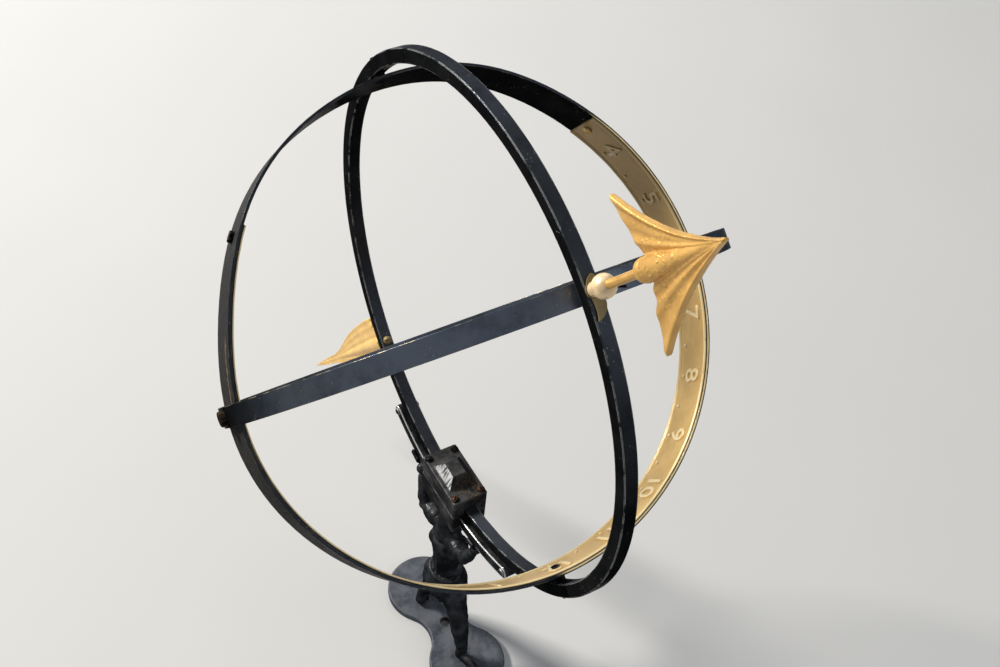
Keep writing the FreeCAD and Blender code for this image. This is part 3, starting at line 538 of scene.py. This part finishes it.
class Clay:
    """Overlapping closed lumps, in mm, to be skinned together."""

    def __init__(self):
        self.verts, self.faces = [], []

    def rings(self, loops):
        """A skin over loops that have the same number of points, closed at both ends."""
        first = len(self.verts)
        n = len(loops[0])
        for loop in loops:
            self.verts += loop
        last = first + (len(loops) - 1) * n
        for base in range(first, last, n):
            for j in range(n):
                k = (j + 1) % n
                self.faces.append((base + j, base + k, base + n + k, base + n + j))
        self.faces.append(tuple(first + j for j in reversed(range(n))))
        self.faces.append(tuple(last + j for j in range(n)))

    def limb(self, points, radii, flat=1.0, wide=None, sides=20, steps=6):
        """A rounded tapering limb through points. flat squeezes it across the direction wide."""
        points = [Vector(q) for q in points]
        path, sizes = [], []
        count = len(points) - 1
        for i in range(count):
            a, b, c, d = points[max(i - 1, 0)], points[i], points[i + 1], points[min(i + 2, count)]
            for k in range(steps):
                t = k / steps
                path.append(0.5 * (2 * b + (c - a) * t + (2 * a - 5 * b + 4 * c - d) * t * t
                                   + (3 * b - a - 3 * c + d) * t ** 3))
                t = t * t * (3 - 2 * t)
                sizes.append(radii[i] * (1 - t) + radii[i + 1] * t)
        path.append(points[-1])
        sizes.append(radii[-1])
        loops = []
        start = (path[1] - path[0]).normalized()
        side = Vector(wide) if wide else start.orthogonal()
        side = (side - start * side.dot(start)).normalized()
        rounding = [math.radians(a) for a in (30, 55, 80)]
        for t in reversed(rounding):
            centre = path[0] - start * sizes[0] * math.sin(t)
            loops.append(self.loop(centre, start, side, sizes[0] * math.cos(t), flat, sides))
        for i, (point, size) in enumerate(zip(path, sizes)):
            ahead = (path[min(i + 1, len(path) - 1)] - path[max(i - 1, 0)]).normalized()
            side = (side - ahead * side.dot(ahead)).normalized()
            loops.append(self.loop(point, ahead, side, size, flat, sides))
        for t in rounding:
            centre = path[-1] + ahead * sizes[-1] * math.sin(t)
            loops.append(self.loop(centre, ahead, side, sizes[-1] * math.cos(t), flat, sides))
        self.rings(loops)

    def loop(self, centre, ahead, side, size, flat, sides):
        other = ahead.cross(side)
        return [centre + side * size * x + other * size * flat * y for x, y in circle(sides)]

    def lump(self, centre, size, turn=(0, 0, 0), sides=24, bands=14):
        """An ellipsoid, turned by Euler angles in degrees."""
        m = Euler([math.radians(a) for a in turn]).to_matrix()
        loops = []
        for i in range(1, bands):
            lat = math.pi * i / bands - math.pi / 2
            a, b, height = size[0] * math.cos(lat), size[1] * math.cos(lat), size[2] * math.sin(lat)
            loops.append([Vector(centre) + m @ Vector((a * x, b * y, height)) for x, y in circle(sides)])
        self.rings(loops)

    def sheet(self, rows_top, rows_bottom):
        """A closed slab between two grids of points with the same shape."""
        base = len(self.verts)
        n, m = len(rows_top), len(rows_top[0])
        for rows in (rows_top, rows_bottom):
            for row in rows:
                self.verts += row
        lower = base + n * m
        for i in range(n - 1):
            for j in range(m - 1):
                a, b, c, d = i * m + j, i * m + j + 1, (i + 1) * m + j + 1, (i + 1) * m + j
                self.faces.append((base + a, base + b, base + c, base + d))
                self.faces.append((lower + d, lower + c, lower + b, lower + a))
        rim = ([(0, j) for j in range(m)] + [(i, m - 1) for i in range(1, n)]
               + [(n - 1, j) for j in range(m - 2, -1, -1)] + [(i, 0) for i in range(n - 2, 0, -1)])
        for k, (i, j) in enumerate(rim):
            i2, j2 = rim[(k + 1) % len(rim)]
            a, b = i * m + j, i2 * m + j2
            self.faces.append((base + b, base + a, lower + a, lower + b))


# ---------------------------------------------------------------- hour strip
def strip_point(deg, across, depth):
    """depth is measured inward from the band's outer face."""
    r = band_outer(deg) - depth
    a = math.radians(deg)
    return polar(r * math.cos(a), across, r * math.sin(a))


def hour_angle(hour):
    return NOON + (hour - 12) * DEGREES_AN_HOUR


def strip_rim(middle, inner, raised):
    """The rounded rim along an edge of the strip."""
    turns = [math.pi * k / 6 for k in range(7)]
    return [(middle - 1.35 * math.cos(t), inner - 0.15 + (raised - inner) * math.sin(t), 1) for t in turns]


def make_strip():
    """The strip with its rims. The profile's points are across, depth and look."""
    half = STRIP_WIDTH / 2
    inner, raised, back = 2.95, 3.95, 2.06
    rim_at, floor_at = 1.45, 3.1             # from the strip's edges
    profile = [(-half + 0.25, back, 2), (-half, inner - 0.45, 2)]
    profile += strip_rim(-half + rim_at, inner, raised)
    for k in range(9):
        across = -half + floor_at + (2 * half - 2 * floor_at) * k / 8
        profile.append((across, inner - 0.12 * math.sin(math.pi * k / 8), 0))
    profile += strip_rim(half - rim_at, inner, raised)
    profile += [(half, inner - 0.45, 2), (half - 0.25, back, 2)]
    steps = 260
    verts, faces, picks = [], [], []
    n = len(profile)
    for i in range(steps + 1):
        deg = STRIP_START + (STRIP_END - STRIP_START) * i / steps
        for across, depth, _ in profile:
            ripple = 0.10 * noise.noise(Vector((deg * 0.35, across * 0.12, 0)))
            edge = 0.12 * noise.noise(Vector((deg * 0.3, 5.0, across * 0.01)))
            verts.append(strip_point(deg, across + edge, depth + (ripple if depth > back + 0.1 else 0)))
    for i in range(steps):
        for j in range(n):
            k = (j + 1) % n
            faces.append((i * n + j, (i + 1) * n + j, (i + 1) * n + k, i * n + k))
            picks.append(max(profile[j][2], profile[k][2]))
    faces.append(tuple(reversed(range(n))))
    faces.append(tuple(steps * n + j for j in range(n)))
    picks += [0, 0]
    new_piece("hour_strip_relief", verts, faces, "sphere", [STRIP_FACE, STRIP_RAISED, STRIP_SIDE],
              ("hour_strip",), picks)


def make_numerals():
    """Raised numerals, tops towards the arrowhead, read from inside the sphere."""
    verts, faces = [], []
    for hour in range(4, 21):
        curve = bpy.data.curves.new("digit", "FONT")
        curve.body = str(hour if hour <= 12 else hour - 12)
        curve.align_x = "CENTER"
        curve.align_y = "CENTER"
        curve.size = 24.0
        curve.space_character = 0.92
        curve.extrude = 0.30
        curve.bevel_depth = 0.50
        curve.bevel_resolution = 2
        curve.resolution_u = 6
        curve.offset = -0.10
        text = bpy.data.objects.new("digit", curve)
        bpy.context.scene.collection.objects.link(text)
        bpy.context.view_layer.update()
        evaluated = text.evaluated_get(bpy.context.evaluated_depsgraph_get())
        mesh = bpy.data.meshes.new_from_object(evaluated)
        low = min(v.co.y for v in mesh.vertices)
        high = max(v.co.y for v in mesh.vertices)
        left = min(v.co.x for v in mesh.vertices)
        right = max(v.co.x for v in mesh.vertices)
        tall = NUMERAL_HEIGHT / (high - low)
        wide = min(tall * 0.92, NUMERAL_WIDEST / (right - left))
        centre = hour_angle(hour)
        base = len(verts)
        for v in mesh.vertices:
            x = (v.co.x - (left + right) / 2) * wide
            y = (v.co.y - (low + high) / 2) * tall + NUMERAL_ACROSS
            deg = centre + math.degrees(x / band_outer(centre))
            verts.append(strip_point(deg, y, 3.0 + v.co.z))
        faces += [tuple(base + i for i in f.vertices) for f in mesh.polygons]
        bpy.data.objects.remove(text)
        bpy.data.curves.remove(curve)
        bpy.data.meshes.remove(mesh)
    new_piece("hour_numerals", verts, faces, "sphere", [STRIP_RAISED])


def make_dots():
    """Small domes near the strip's far rim at every hour and half hour."""
    verts, faces = [], []
    sides, rows = 14, 4
    for half_hour in range(8, 42):
        centre = hour_angle(half_hour / 2)
        if centre < STRIP_START + 3 or centre > STRIP_END - 4:
            continue
        base = len(verts)
        for i in range(rows):
            t = math.pi / 2 * i / rows
            reach, depth = DOT_RADIUS * math.cos(t), DOT_FOOT + DOT_RISE * math.sin(t)
            for x, y in circle(sides):
                deg = centre + math.degrees(reach * x / band_outer(centre))
                verts.append(strip_point(deg, DOT_ACROSS + reach * y, depth))
        verts.append(strip_point(centre, DOT_ACROSS, DOT_FOOT + DOT_RISE))
        summit = base + rows * sides
        for here in range(base, summit - sides, sides):
            for j in range(sides):
                k = (j + 1) % sides
                faces.append((here + j, here + sides + j, here + sides + k, here + k))
        for j in range(sides):
            faces.append((summit - sides + j, summit, summit - sides + (j + 1) % sides))
        faces.append(tuple(base + j for j in range(sides)))
    new_piece("hour_dots", verts, faces, "sphere", [STRIP_DOT])


make_strip()
make_numerals()
make_dots()


# ---------------------------------------------------------------- arrowhead
def circle_through(a, b, c):
    """The centre and radius of the circle through three points."""
    d = 2 * (a[0] * (b[1] - c[1]) + b[0] * (c[1] - a[1]) + c[0] * (a[1] - b[1]))
    sa, sb, sc = (q[0] ** 2 + q[1] ** 2 for q in (a, b, c))
    ux = (sa * (b[1] - c[1]) + sb * (c[1] - a[1]) + sc * (a[1] - b[1])) / d
    uy = (sa * (c[0] - b[0]) + sb * (a[0] - c[0]) + sc * (b[0] - a[0])) / d
    return ux, uy, math.hypot(a[0] - ux, a[1] - uy)


# Per side of the arrowhead: the circle its leading edge lies on, and its ribs as place, spread and height.
# TRAIL is the trailing edge: share of the half span, and distance along the axis.
LEADS = {1: circle_through((HEAD_TIP, 0.0), (282.5, 14.6), (244.6, 41.0)),
         -1: circle_through((HEAD_TIP, 0.0), (281.5, 18.0), (242.5, 43.8))}
TRAIL = ((0.0, 258.5), (0.16, 256.6), (0.27, 253.9), (0.44, 252.0), (0.59, 248.7), (0.76, 245.0),
         (0.88, 243.4), (1.0, 244.2))
RIBS = {1: ((0.43, 0.090, 1.5), (0.68, 0.080, 0.3), (0.955, 0.065, 1.5)),
        -1: ((0.30, 0.085, 1.6), (0.56, 0.100, 1.9), (0.95, 0.085, 1.6))}


def lead_half(p, side):
    """Half span of the leading edge at a distance along the axis."""
    along_axis, out, radius = LEADS[side]
    return max(0.0, out - math.sqrt(max(0.0, radius ** 2 - (p - along_axis) ** 2)))


def trail_at(w, side):
    """Where the trailing edge is along the axis. The lower wing's sweeps back a little further."""
    for (w0, p0), (w1, p1) in zip(TRAIL, TRAIL[1:]):
        if w <= w1:
            t = (w - w0) / (w1 - w0)
            eased = 0.5 * t + 0.5 * t * t * (3 - 2 * t)
            return p0 + (p1 - p0) * eased - (1.7 * w if side < 0 else 0.0)
    return TRAIL[-1][1]


def wing_relief(w, v, side):
    """Half thickness over a wing: a rounded leading rim, and ribs that fade towards the tip."""
    x = 0.75 + 0.6 * v
    for middle, spread, height in RIBS[side]:
        fade = 0.6 if middle < 0.9 else 0.25
        x += height * math.exp(-((w - middle) / spread) ** 2) * (1 - fade * v)
    return x


def make_arrowhead():
    clay = Clay()
    rows, cols = 70, 64
    for side in (1, -1):
        top, bottom = [], []
        for i in range(rows + 1):
            v = i / rows
            row_top, row_bottom = [], []
            for j in range(cols + 1):
                w = j / cols
                trail = trail_at(w, side)
                p = trail + (HEAD_TIP - 1.8 - trail) * v
                h = w * lead_half(p, side) + 0.001 * j
                x = wing_relief(w, v, side) * (1.0 if i else 0.8)
                row_top.append(Vector((x, p, side * h)))
                row_bottom.append(Vector((-x, p, side * h)))
            top.append(row_top)
            bottom.append(row_bottom)
        if side > 0:
            clay.sheet(bottom, top)
        else:
            clay.sheet(top, bottom)
    bead = HEAD_BACK + 5.6
    profile = [(HEAD_BACK + 0.2, 1.6)]
    for t in (50, 38, 26, 14, 0):
        profile.append((bead - SOCKET_R * math.sin(math.radians(t)), SOCKET_R * math.cos(math.radians(t))))
    profile += [(bead + 1.6, 6.8), (bead + 2.6, 6.2), (bead + 3.6, 6.6), (bead + 5.5, 7.1),
                (bead + 9, 6.95), (269, 6.1), (278, 4.9), (288, 3.8), (300, 2.7), (310, 2.0),
                (318, 1.6), (HEAD_TIP - 3.0, 1.35), (HEAD_TIP - 1.6, 0.9)]
    clay.rings([[Vector((r * x, p, -r * z)) for x, z in circle(36)] for p, r in profile])
    verts, faces, normals = remeshed(clay.verts, clay.faces, 0.45, 2)
    shaped = []
    for v, n in zip(verts, normals):
        rough = min(1.0, max(0.0, (v.y - bead - 1.5) / 2.0))
        near = math.exp(-((v.y - 266) / 26) ** 2) * math.exp(-(v.z / 16) ** 2) + 0.25
        beads = max(0.0, noise.noise(v * 0.62 + Vector((7, 3, 1))) - 0.26) * 1.3 * near
        shaped.append(lifted(*(v + n * rough * (noise.noise(v * 0.5) * 0.08 + beads))))
    new_piece("arrowhead_cast", shaped, faces, "sphere", [GOLD_CAST], ("arrowhead",))


# ---------------------------------------------------------------- tail vane
def tail_half(p):
    """Half span of the vane at a distance from its tip."""
    stops = ((0, 0.4), (20, 1.8), (42, 3.0), (78, 4.2), (96, 6.4), (118, 11.6), (140, 16.4),
             (165, 19.6), (190, 21.3), (206, 21.9), (209, 21.5))
    for (a, ha), (b, hb) in zip(stops, stops[1:]):
        if p <= b:
            t = (p - a) / (b - a)
            return ha + (hb - ha) * t
    return stops[-1][1]


def make_tail():
    clay = Clay()
    rows, cols = 110, 40
    top, bottom = [], []
    for i in range(rows + 1):
        v = i / rows
        row_top, row_bottom = [], []
        for j in range(cols + 1):
            w = j / cols * 2 - 1
            reach = 208.5 + 8.0 * (1 - abs(w) ** 1.3)
            p = reach * v + 0.6
            h = w * tail_half(min(p, 208.0))
            rib = sum(math.exp(-((abs(w) - c) / 0.07) ** 2) * 0.45 for c in (0.36, 0.68))
            rib *= min(1.0, max(0.0, (p - 90) / 50))
            rim, spine = math.exp(-((abs(w) - 0.95) / 0.06) ** 2), math.exp(-(w / 0.12) ** 2)
            x = 0.95 + 0.5 * rim + rib + 0.5 * spine
            row_top.append(Vector((x, TAIL_TIP + p, TAIL_OFFSET + h)))
            row_bottom.append(Vector((-x, TAIL_TIP + p, TAIL_OFFSET + h)))
        top.append(row_top)
        bottom.append(row_bottom)
    clay.sheet(bottom, top)
    socket = ((0.1, 4.6), (0.8, 5.3), (3, 5.4), (12, 5.1), (40, 4.3), (90, 2.9), (130, 1.7), (150, 1.0))
    clay.rings([[Vector((r * x, TAIL_FOOT - back, TAIL_OFFSET + r * z)) for x, z in circle(28)]
                for back, r in socket])
    verts, faces, normals = remeshed(clay.verts, clay.faces, 0.6, 2)
    shaped = []
    for v, n in zip(verts, normals):
        grain = noise.noise(v * 0.4) * 0.12
        grain += max(0.0, noise.noise(v * 0.3 + Vector((2, 9, 4))) - 0.25) * 0.6
        shaped.append(polar(*(v + n * grain)))
    new_piece("tail_cast", shaped, faces, "sphere", [GOLD_TAIL], ("tail_vane",))


make_arrowhead()
make_tail()


# ---------------------------------------------------------------- figure
def cradle_underside(y):
    """Height of the cradle arc's lower face above the ground."""
    return CENTRE_HEIGHT - math.sqrt(CRADLE_RADIUS ** 2 - y ** 2)


def make_figure():
    """A bearded strongman facing west, feet apart along the plate, both hands up at the cradle."""
    c = Clay()
    for s, hip, knee, ankle, heel, toe in (
            (1, (3, 9, 88), (3, 25, 55), (3.5, 36, 20), (4.5, 36, 11.5), (1, 53, 10.0)),
            (-1, (4, -8, 88), (0, -20, 52), (8, -29, 19), (10, -28, 11), (-3, -38, 9.3))):
        hip, knee, ankle, heel, toe = (Vector(q) for q in (hip, knee, ankle, heel, toe))
        c.limb([hip, hip.lerp(knee, 0.35), hip.lerp(knee, 0.75), knee], [11.0, 10.8, 9.2, 8.2])
        c.limb([knee, knee.lerp(ankle, 0.35), knee.lerp(ankle, 0.75), ankle], [8.0, 7.8, 6.0, 4.9])
        c.lump(knee.lerp(ankle, 0.3) + Vector((3.0, s * 0.8, 0)), (4.4, 4.6, 10.5), (s * -8, 0, 0))
        c.lump(hip.lerp(knee, 0.45) + Vector((-3.2, 0, 0)), (6.0, 6.4, 15), (s * -34, 0, 0))
        c.lump(knee + Vector((-4.6, s * 1.2, 0.5)), (3.9, 4.4, 4.8))
        c.lump(hip + Vector((6.0, s * 1.5, 1.5)), (8.2, 8.4, 9.6))
        c.limb([ankle, heel], [5.0, 5.0])
        c.limb([heel, heel.lerp(toe, 0.5) + Vector((0, 0, 1.8)), toe], [5.1, 5.0, 3.4], 0.8, (0, 0, 1))
        ball = heel.lerp(toe, 0.82)
        ahead = (toe - heel).normalized()
        across = ahead.cross(Vector((0, 0, 1)))
        for k, length in enumerate((5.6, 5.4, 5.0, 4.5, 4.0)):
            root = ball + across * (k - 2) * 1.75 * s
            c.limb([root, root + ahead * length + Vector((0, 0, -0.9))], [1.7, 1.25], sides=10)
    # trunk
    c.limb([(4, 0, 84), (4, 0, 96), (4, 0, 108), (3.5, -0.5, 124), (4, -1, 140), (3, -1, 148)],
           [13.4, 12.2, 11.6, 14.6, 16.4, 12.0], 0.80, (0, 1, 0), 28)
    for s in (1, -1):
        c.lump((-5.6, s * 6.6 - 0.5, 138), (5.0, 7.8, 6.4), (s * 8, 12, 0))
        c.lump((12.0, s * 7.2 - 0.5, 139), (4.6, 6.6, 8.0), (s * 10, 0, 0))
        c.lump((6.0, s * 12.2 - 0.5, 130), (6.4, 4.4, 12.0), (s * -14, 0, 0))
        for k in range(3):
            c.lump((-5.6 - 0.25 * k, s * 3.1 - 0.3, 124 - 7.2 * k), (3.3, 3.1, 3.5))
        for k in range(4):
            front, back = (-2.5 + k * 0.4, s * 9.2, 127 - 4.4 * k), (3, s * (12.6 - 0.35 * k), 124 - 4.4 * k)
            c.limb([front, back], [1.5, 1.9], sides=10)
        c.lump((-1.5, s * 8.6, 103), (6.0, 4.6, 7.0))
        c.limb([(11.5, s * 1.9 - 0.3, 100), (12.6, s * 2.4 - 0.3, 118), (12.0, s * 2.8 - 0.4, 134)],
               [2.6, 2.9, 2.4], sides=12)
    # neck, shoulders and the pad that carries the clamp
    c.limb([(4, -15, 148.5), (5, -1, 152), (4, 13, 149)], [8.2, 9.4, 8.2], 0.85, (0, 0, 1))
    c.limb([(3, -1, 148), (-3.5, -1, 156), (-8.0, -1, 160)], [7.6, 6.8, 6.2])
    c.limb([(5.0, -1, 150), (4.2, -0.6, 164), (2.6, -0.3, 176), (1.6, 0, 183.0)], [10.4, 9.4, 9.0, 9.4])
    # arms
    for s, shoulder, elbow, wrist, grip in (
            (1, (4, 14, 149), (6, 30.5, 157), (4, 39, 176), (2.0, 41.5, 186)),
            (-1, (5, -17, 149), (7, -34, 149), (5, -46, 171), (2.0, -49.5, 185.5))):
        shoulder, elbow, wrist, grip = (Vector(q) for q in (shoulder, elbow, wrist, grip))
        c.lump(shoulder + Vector((0, s * 1.5, 1)), (8.4, 8.2, 8.0))
        c.limb([shoulder, shoulder.lerp(elbow, 0.5), elbow], [7.0, 6.2, 4.9])
        c.lump(shoulder.lerp(elbow, 0.55) + Vector((-2.4, 0, 1.6)), (4.4, 7.2, 4.6), (s * 22, 0, 0))
        c.lump(shoulder.lerp(elbow, 0.5) + Vector((2.6, 0, -1.6)), (4.2, 7.4, 4.2), (s * 18, 0, 0))
        c.lump(elbow + Vector((1.2, s * 0.8, -0.6)), (4.2, 4.2, 4.2))
        c.limb([elbow, elbow.lerp(wrist, 0.35), elbow.lerp(wrist, 0.8), wrist], [5.0, 5.4, 3.9, 3.3])
        c.lump(elbow.lerp(wrist, 0.3) + Vector((2.2, 0, 0)), (3.8, 4.2, 7.2), (s * -25, 0, 0))
        c.lump(wrist.lerp(grip, 0.55), (5.6, 4.6, 5.0), (s * -15, 0, 0))
        for k in range(4):
            y = grip.y + (k - 1.5) * 2.5
            low = cradle_underside(y)
            c.limb([(7.0, y, low - 3.4), (9.6, y, low - 0.4), (10.1, y, low + 2.8)],
                   [1.75, 1.6, 1.35], sides=10)
        low = cradle_underside(grip.y - 3 * s)
        thumb = [(-4.5, grip.y - 1.5 * s, low - 4.6), (-8.6, grip.y - 3 * s, low - 1.6),
                 (-9.9, grip.y - 4 * s, low + 1.8)]
        c.limb(thumb, [2.3, 2.0, 1.6], sides=10)
    # loincloth: a rolled belt, folds round the hips and a hanging end
    belt = []
    for j in range(33):
        a = 2 * math.pi * j / 32
        belt.append((4 + 12.6 * math.cos(a), 0.2 + 14.4 * math.sin(a), 97.5 + 1.6 * math.cos(a + 0.6)))
    c.limb(belt, [2.3] * 33, 0.8, (0, 0, 1), 10, 2)
    for j in range(30):
        a = 2 * math.pi * j / 30
        drop = 74.5 + 4.0 * math.cos(2 * a) + 2.0 * math.sin(3 * a + 1)
        wide = 1.28 + 0.05 * math.sin(5 * a)
        top = (4 + 12.2 * math.cos(a), 0.2 + 13.8 * math.sin(a), 97)
        low = (4 + 13.0 * wide * math.cos(a), 0.2 + 14.6 * wide * math.sin(a), drop + 2)
        middle = ((top[0] + low[0]) / 2 + 0.9 * math.cos(a), (top[1] + low[1]) / 2 + 0.9 * math.sin(a), 87)
        c.limb([top, middle, low], [2.1, 2.7, 1.9 if j % 2 else 2.5], sides=10)
    c.limb([(-9.5, -3, 97), (-12.0, -4, 84), (-11.0, -5, 70)], [3.2, 4.0, 3.0], 0.45, (0, 1, 0))
    # head, bowed to the west
    m = Matrix.Translation((-12.5, -1, 165.5)) @ Euler((0, math.radians(-14), 0)).to_matrix().to_4x4()

    def h(x, y, z):
        """From the head's own frame to the figure's."""
        return m @ Vector((x, y, z))

    c.lump(h(0.5, 0, 2.5), (9.4, 7.6, 8.6), (0, -14, 0))
    c.lump(h(-2.4, 0, -4.6), (6.4, 6.0, 6.4), (0, -14, 0))
    c.limb([h(-8.0, -3.9, 2.4), h(-9.0, 0, 2.7), h(-8.0, 3.9, 2.4)], [1.3, 1.2, 1.3], sides=10)
    c.limb([h(-9.1, 0, 1.8), h(-10.6, 0, -1.6)], [0.9, 1.25], sides=10)
    for s in (1, -1):
        c.lump(h(-9.9, s * 1.0, -1.9), (0.9, 0.8, 0.8))
        c.lump(h(-7.6, s * 2.9, 0.9), (1.2, 1.5, 1.0))
        c.lump(h(-6.6, s * 4.0, -1.8), (2.2, 2.0, 1.9))
        ear = [h(1.0, s * 7.4, 1.6), h(1.6, s * 7.9, -0.4), h(0.6, s * 7.4, -2.4)]
        c.limb(ear, [1.2, 1.3, 0.9], sides=10)
    c.limb([h(-8.9, -1.9, -4.4), h(-9.5, 0, -4.2), h(-8.9, 1.9, -4.4)], [0.75, 0.85, 0.75], sides=10)
    c.limb([h(-8.6, -1.6, -5.7), h(-9.1, 0, -5.8), h(-8.6, 1.6, -5.7)], [0.75, 0.9, 0.75], sides=10)
    for j in range(13):
        a = math.pi * (j / 12 - 0.5) * 1.25
        lock = [h(-3.0 - 4.6 * math.cos(a), 6.0 * math.sin(a), -5.6 + 1.6 * abs(math.sin(a))),
                h(-4.4 - 4.9 * math.cos(a), 5.6 * math.sin(a), -8.6),
                h(-4.8 - 3.7 * math.cos(a), 4.6 * math.sin(a), -11.4)]
        c.limb(lock, [1.7, 1.8, 1.1], sides=10)
    curls = ((8.4, 2.6, 16), (8.0, 5.6, 15), (6.4, 8.6, 12), (3.4, 10.4, 7))
    for ring, (radius, height, count) in enumerate(curls):
        for j in range(count):
            a = 2 * math.pi * (j + 0.5 * (ring % 2)) / count
            if ring == 0 and abs(math.atan2(math.sin(a - math.pi), math.cos(a - math.pi))) < 0.95:
                continue
            x, y = 0.9 + radius * 1.12 * math.cos(a), radius * 0.94 * math.sin(a)
            c.lump(h(x, y, height + 0.4 * math.sin(7 * a)), (2.1, 2.1, 1.7))
    verts, faces, normals = remeshed(c.verts, c.faces, 0.8, 4)
    shaped = []
    for v, n in zip(verts, normals):
        q = v + n * (noise.noise(v * 0.5) * 0.16 + noise.noise(v * 0.16) * 0.22)
        q.z = max(PLATE_TOP, q.z)
        if q.z > PAD_TOP - 0.6 and abs(q.y) < 26.5:
            q.z = min(q.z, PAD_TOP)
        shaped.append(stand(*q))
    new_piece("figure_cast", shaped, faces, "stand", [FIGURE_IRON], ("figure",))


make_figure()


# ---------------------------------------------------------------- floor
def make_floor():
    size, count = 3.0, 8
    mesh = bpy.data.meshes.new("floor")
    row = count + 1
    places = [(i / count - 0.5) * 2 * size for i in range(row)]
    verts = [(x, y, -0.0004) for x in places for y in places]
    corners = [i * row + j for i in range(count) for j in range(count)]
    faces = [(a, a + row, a + row + 1, a + 1) for a in corners]
    mesh.from_pydata(verts, [], faces)
    obj = bpy.data.objects.new("floor", mesh)
    bpy.context.scene.collection.objects.link(obj)
    p = Paint("floor_paint")
    tone = p.mix(p.noise(3, 3), (0.52, 0.52, 0.515), (0.555, 0.555, 0.55))
    mesh.materials.append(p.finish(tone, 0.85, p.bump(p.noise(300, 3), 0.05, 0.0005)))


make_floor()
